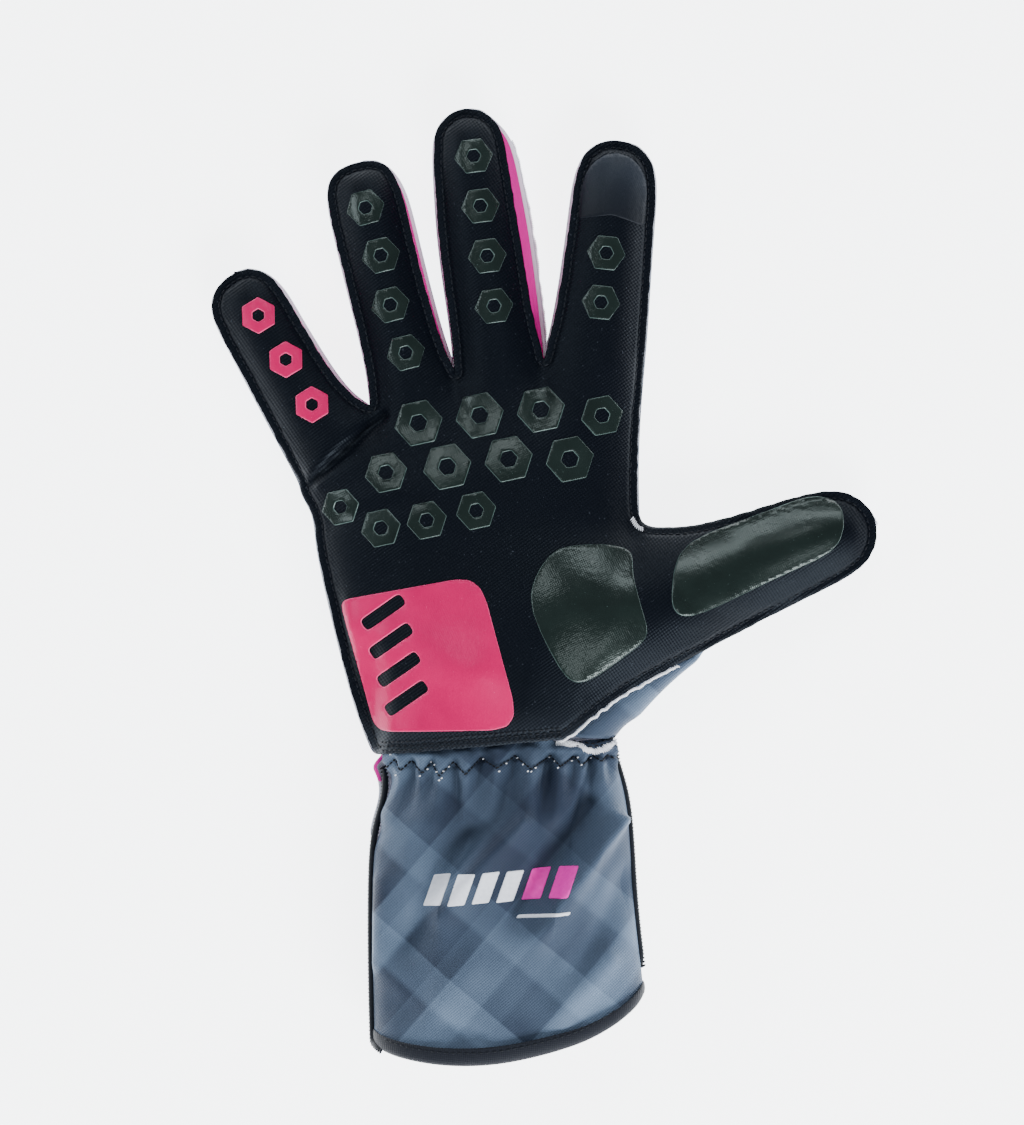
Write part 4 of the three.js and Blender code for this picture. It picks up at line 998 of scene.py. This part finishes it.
def dense(loop, step):
    """A closed outline with places at most a step apart."""
    found = []
    for first, second in zip(loop, np.roll(loop, -1, 0)):
        count = max(int(np.ceil(np.linalg.norm(second - first) / step)), 1)
        found += [first + (second - first) * i / count for i in range(count)]
    return np.array(found)


def softened(loop, step, rounds):
    """A closed outline with places a step apart and its corners rounded, more with each round."""
    loop = dense(loop, step)
    for _ in range(rounds):
        loop = (np.roll(loop, -1, 0) + 2 * loop + np.roll(loop, 1, 0)) / 4
    return loop


def covered(loops, places):
    """Which places lie inside the outlines, and not in a hole of them."""
    found = np.zeros(len(places), bool)
    for loop in loops:
        for first, second in zip(loop, np.roll(loop, -1, 0)):
            straddles = (first[1] > places[:, 1]) != (second[1] > places[:, 1])
            rise = second[1] - first[1] + 1e-12
            meets = (second[0] - first[0]) * (places[:, 1] - first[1]) / rise + first[0]
            found ^= straddles & (places[:, 0] < meets)
    return found


def relief_patch(name, loops, surface, thickness, rounding, step):
    """A thin patch with rounded edges that lies on a surface inside outlines in plan."""
    rims = [dense(loop, step) for loop in loops]
    fine_rim = np.concatenate([dense(loop, 0.15 * mm) for loop in loops])
    tree = KDTree(len(fine_rim))
    for number, place in enumerate(fine_rim):
        tree.insert((*place, 0), number)
    tree.balance()
    low, high = fine_rim.min(0), fine_rim.max(0)
    columns, rows = [np.arange(low[axis], high[axis], step) for axis in (0, 1)]
    candidates = [np.array([(x, y) for x in columns for y in rows])]
    for rim in rims:
        way = np.roll(rim, -1, 0) - np.roll(rim, 1, 0)
        side = np.stack([way[:, 1], -way[:, 0]], 1) / (np.linalg.norm(way, axis=1)[:, None] + 1e-12)
        for depth in (0.3 * rounding, rounding):
            candidates += [rim + side * depth, rim - side * depth]
    extra = np.concatenate(candidates)
    extra = extra[covered(loops, extra)]
    away = np.array([tree.find((*place, 0))[2] for place in extra])
    extra = extra[away > 0.25 * rounding]
    places = np.concatenate(rims + [extra])
    edges = []
    start = 0
    for rim in rims:
        edges += [(start + i, start + (i + 1) % len(rim)) for i in range(len(rim))]
        start += len(rim)
    flat, _, triangles, *_ = delaunay_2d_cdt([Vector(place) for place in places], edges, [], 0, 1e-6)
    flat = np.array([place[:] for place in flat])
    corners = np.array([triangle[:3] for triangle in triangles])
    inside_outline = covered(loops, flat[corners].mean(1))
    depth = np.array([tree.find((*place, 0))[2] for place in flat])
    share = np.clip(depth / rounding, 0, 1)
    lift = thickness * (1.25 * np.sqrt(1 - (1 - share) ** 2) - 0.25)
    spots = []
    for place, height in zip(flat, lift):
        found = laid_on(surface, [place], height)
        spots.append(found[0] if found else Vector((*place, 0)))
    mesh = bpy.data.meshes.new(name)
    faces = corners[inside_outline].tolist()
    mesh.from_pydata(spots, [], faces)
    mesh.attributes.new("rim", "FLOAT", "POINT").data.foreach_set("value", depth.astype(np.float32))
    shape = bmesh.new()
    shape.from_mesh(mesh)
    loose = [vertex for vertex in shape.verts if not vertex.link_faces]
    bmesh.ops.delete(shape, geom=loose, context="VERTS")
    for face in shape.faces:
        if face.normal.z < 0:
            face.normal_flip()
    shape.to_mesh(mesh)
    shape.free()
    mesh.shade_smooth()
    return mesh


def silicone(name, deep, light, rim_tone, roughness, gloss, shine):
    """Cured silicone: glossy, a little cloudy, with a bright rim and dust on it."""
    rubber = Finish(name, Specular_IOR_Level=gloss, Specular_Tint=shine)
    cloud = rubber.speckle(9 * mm, 3.0)
    dust = rubber.speckle(0.6 * mm, 1.0).step(0.74, 0.8)
    rim = 1 - rubber.attribute("rim").step(0.05 * mm, 0.32 * mm)
    broken = rubber.speckle(5 * mm, 2.0).step(0.2, 0.5)
    body = rubber.mix(cloud, deep, light)
    dusty = rubber.mix(dust * 0.35, body, rim_tone)
    rubber.colour = rubber.mix(rim * broken * 0.8, dusty, rim_tone)
    rubber.set(Base_Color=rubber.colour)
    rubber.set(Roughness=roughness + cloud * 0.12)
    grain = twill(rubber, 0.9 * mm, radians(20))
    rubber.bump(grain * 0.5 + rubber.speckle(1.4 * mm, 2.0) * 1.6, 0.05 * mm)
    return rubber


clear_tones = [(0.004, 0.007, 0.0065), (0.01, 0.017, 0.015), (0.1, 0.15, 0.14)]
clear_silicone = silicone("clear_silicone", *clear_tones, 0.17, 0.32, (0.88, 1.0, 0.97))
pink_tones = [(0.46, 0.0, 0.075), (0.64, 0.0, 0.105), (1.0, 0.12, 0.3)]
pink_silicone = silicone("pink_silicone", *pink_tones, 0.26, 0.4, (1.0, 0.3, 0.5))
touch_tones = [(0.012, 0.0155, 0.022), (0.022, 0.028, 0.04), (0.06, 0.07, 0.09)]
touch_film = silicone("touch_film", *touch_tones, 0.42, 0.14, (0.9, 0.95, 1.0))
# Painted shade: the film darkens towards the base of the finger, so that its top looks lit by the light
# from the back.
_, up_the_finger, _ = touch_film.axes(touch_film.place(mm))
painted_lower_shade = 1 - up_the_finger.step(110, 136)
touch_film.set(Base_Color=touch_film.mix(painted_lower_shade * 0.85, touch_film.colour, (0.0015, 0.002, 0.004)))

pad_outline = {"step": 0.7 * mm, "rounds": 5}
stud_outline = {"step": 0.4 * mm, "rounds": 1}
for node in list(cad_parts):
    is_pad = node.endswith("_pad")
    if not is_pad and not node.startswith("stud_"):
        continue
    corners = pad_outline if is_pad else stud_outline
    loops = [softened(loop, **corners) for loop in outline_loops(node)]
    step = (1.2 if is_pad else 0.8) * mm
    grip_mesh = relief_patch(node + "_print", loops, palm_surface, step=step, **print_relief)
    if node == "index_touch_pad":
        finish, slot = touch_film, "touch_cloth"
    elif node == "heel_pad" or node.startswith("stud_little"):
        finish, slot = pink_silicone, "pink_silicone"
    else:
        finish, slot = clear_silicone, "clear_silicone"
    add_piece(node + "_print", grip_mesh, [finish], node)


# The marks on the cuff: a row of slanted dashes and a thin line, heat-pressed from white and
# magenta transfer film.
film_relief = {"thickness": 0.22 * mm, "rounding": 0.12 * mm, "step": 0.7 * mm}


def transfer_film(name, dark, light):
    """Thin matt film, a little uneven in colour."""
    film = Finish(name, Roughness=0.6, Specular_IOR_Level=0.2)
    film.set(Base_Color=film.mix(film.speckle(1.2 * mm), dark, light))
    return film


white_film = transfer_film("white_film", (0.62, 0.64, 0.72), (0.85, 0.86, 0.92))
pink_film = transfer_film("pink_film", (0.75, 0.01, 0.36), (0.95, 0.04, 0.5))

# Each mark as pixels of the photo: its lower left corner, how wide it is, how far it rises and
# how far its top leans to the right.
cuff_marks = [
    {"at": (424, 902), "wide": 17, "rise": 31, "lean": 11, "finish": white_film},
    {"at": (448, 901), "wide": 17, "rise": 31, "lean": 11, "finish": white_film},
    {"at": (472, 899), "wide": 17, "rise": 31, "lean": 11, "finish": white_film},
    {"at": (496, 898), "wide": 17, "rise": 31, "lean": 11, "finish": white_film},
    {"at": (521, 896), "wide": 19, "rise": 31, "lean": 11, "finish": pink_film},
    {"at": (548, 894), "wide": 19, "rise": 31, "lean": 11, "finish": pink_film},
    {"at": (516, 914), "wide": 52, "rise": 3.5, "lean": 2, "finish": white_film},
]
for number, mark in enumerate(cuff_marks):
    across, down = mark["at"]
    tilt = -0.08 * mark["wide"]
    corners = [
        (across, down),
        (across + mark["wide"], down + tilt),
        (across + mark["wide"] + mark["lean"], down + tilt - mark["rise"]),
        (across + mark["lean"], down - mark["rise"]),
    ]
    loop = softened(np.array([from_photo(*corner)[:2] for corner in corners]), 0.5 * mm, 1)
    name = "cuff_mark_" + str(number + 1)
    film = relief_patch(name, [loop], cuff_surface, **film_relief)
    add_piece(name, film, [mark["finish"]])


# What each cloth was cut to, in metres. The palm and the back are sewn flat to each other, the
# elastic gathers the cuff, and the finger walls and the hem's tape are folded. Each rests on the
# solid named for it, or else on the palm, and carries what is sewn or printed on it.
cloths = [
    {"name": "palm_panel_cloth", "flat": (0.215, 0.205), "area": 0.0224, "held": "laid"},
    {"name": "back_panel_cloth", "flat": (0.142, 0.204), "area": 0.0196, "held": "laid"},
    {"name": "thumb_back_cloth", "flat": (0.098, 0.08), "area": 0.0037, "held": "laid"},
    {"name": "cuff_front_cloth", "flat": (0.104, 0.104), "area": 0.0101, "held": "gathered"},
    {"name": "cuff_back_cloth", "flat": (0.094, 0.104), "area": 0.0089, "held": "gathered"},
    {"name": "hem_tape", "flat": (0.0125, 0.185), "area": 0.0023, "held": "folded"},
    {"name": "finger_wall_little_ring", "flat": (0.024, 0.125), "area": 0.0027, "held": "folded"},
    {"name": "finger_wall_ring_middle", "flat": (0.023, 0.141), "area": 0.003, "held": "folded"},
    {"name": "finger_wall_middle_index", "flat": (0.023, 0.14), "area": 0.003, "held": "folded"},
]
for row in cloths:
    name = row.pop("name")
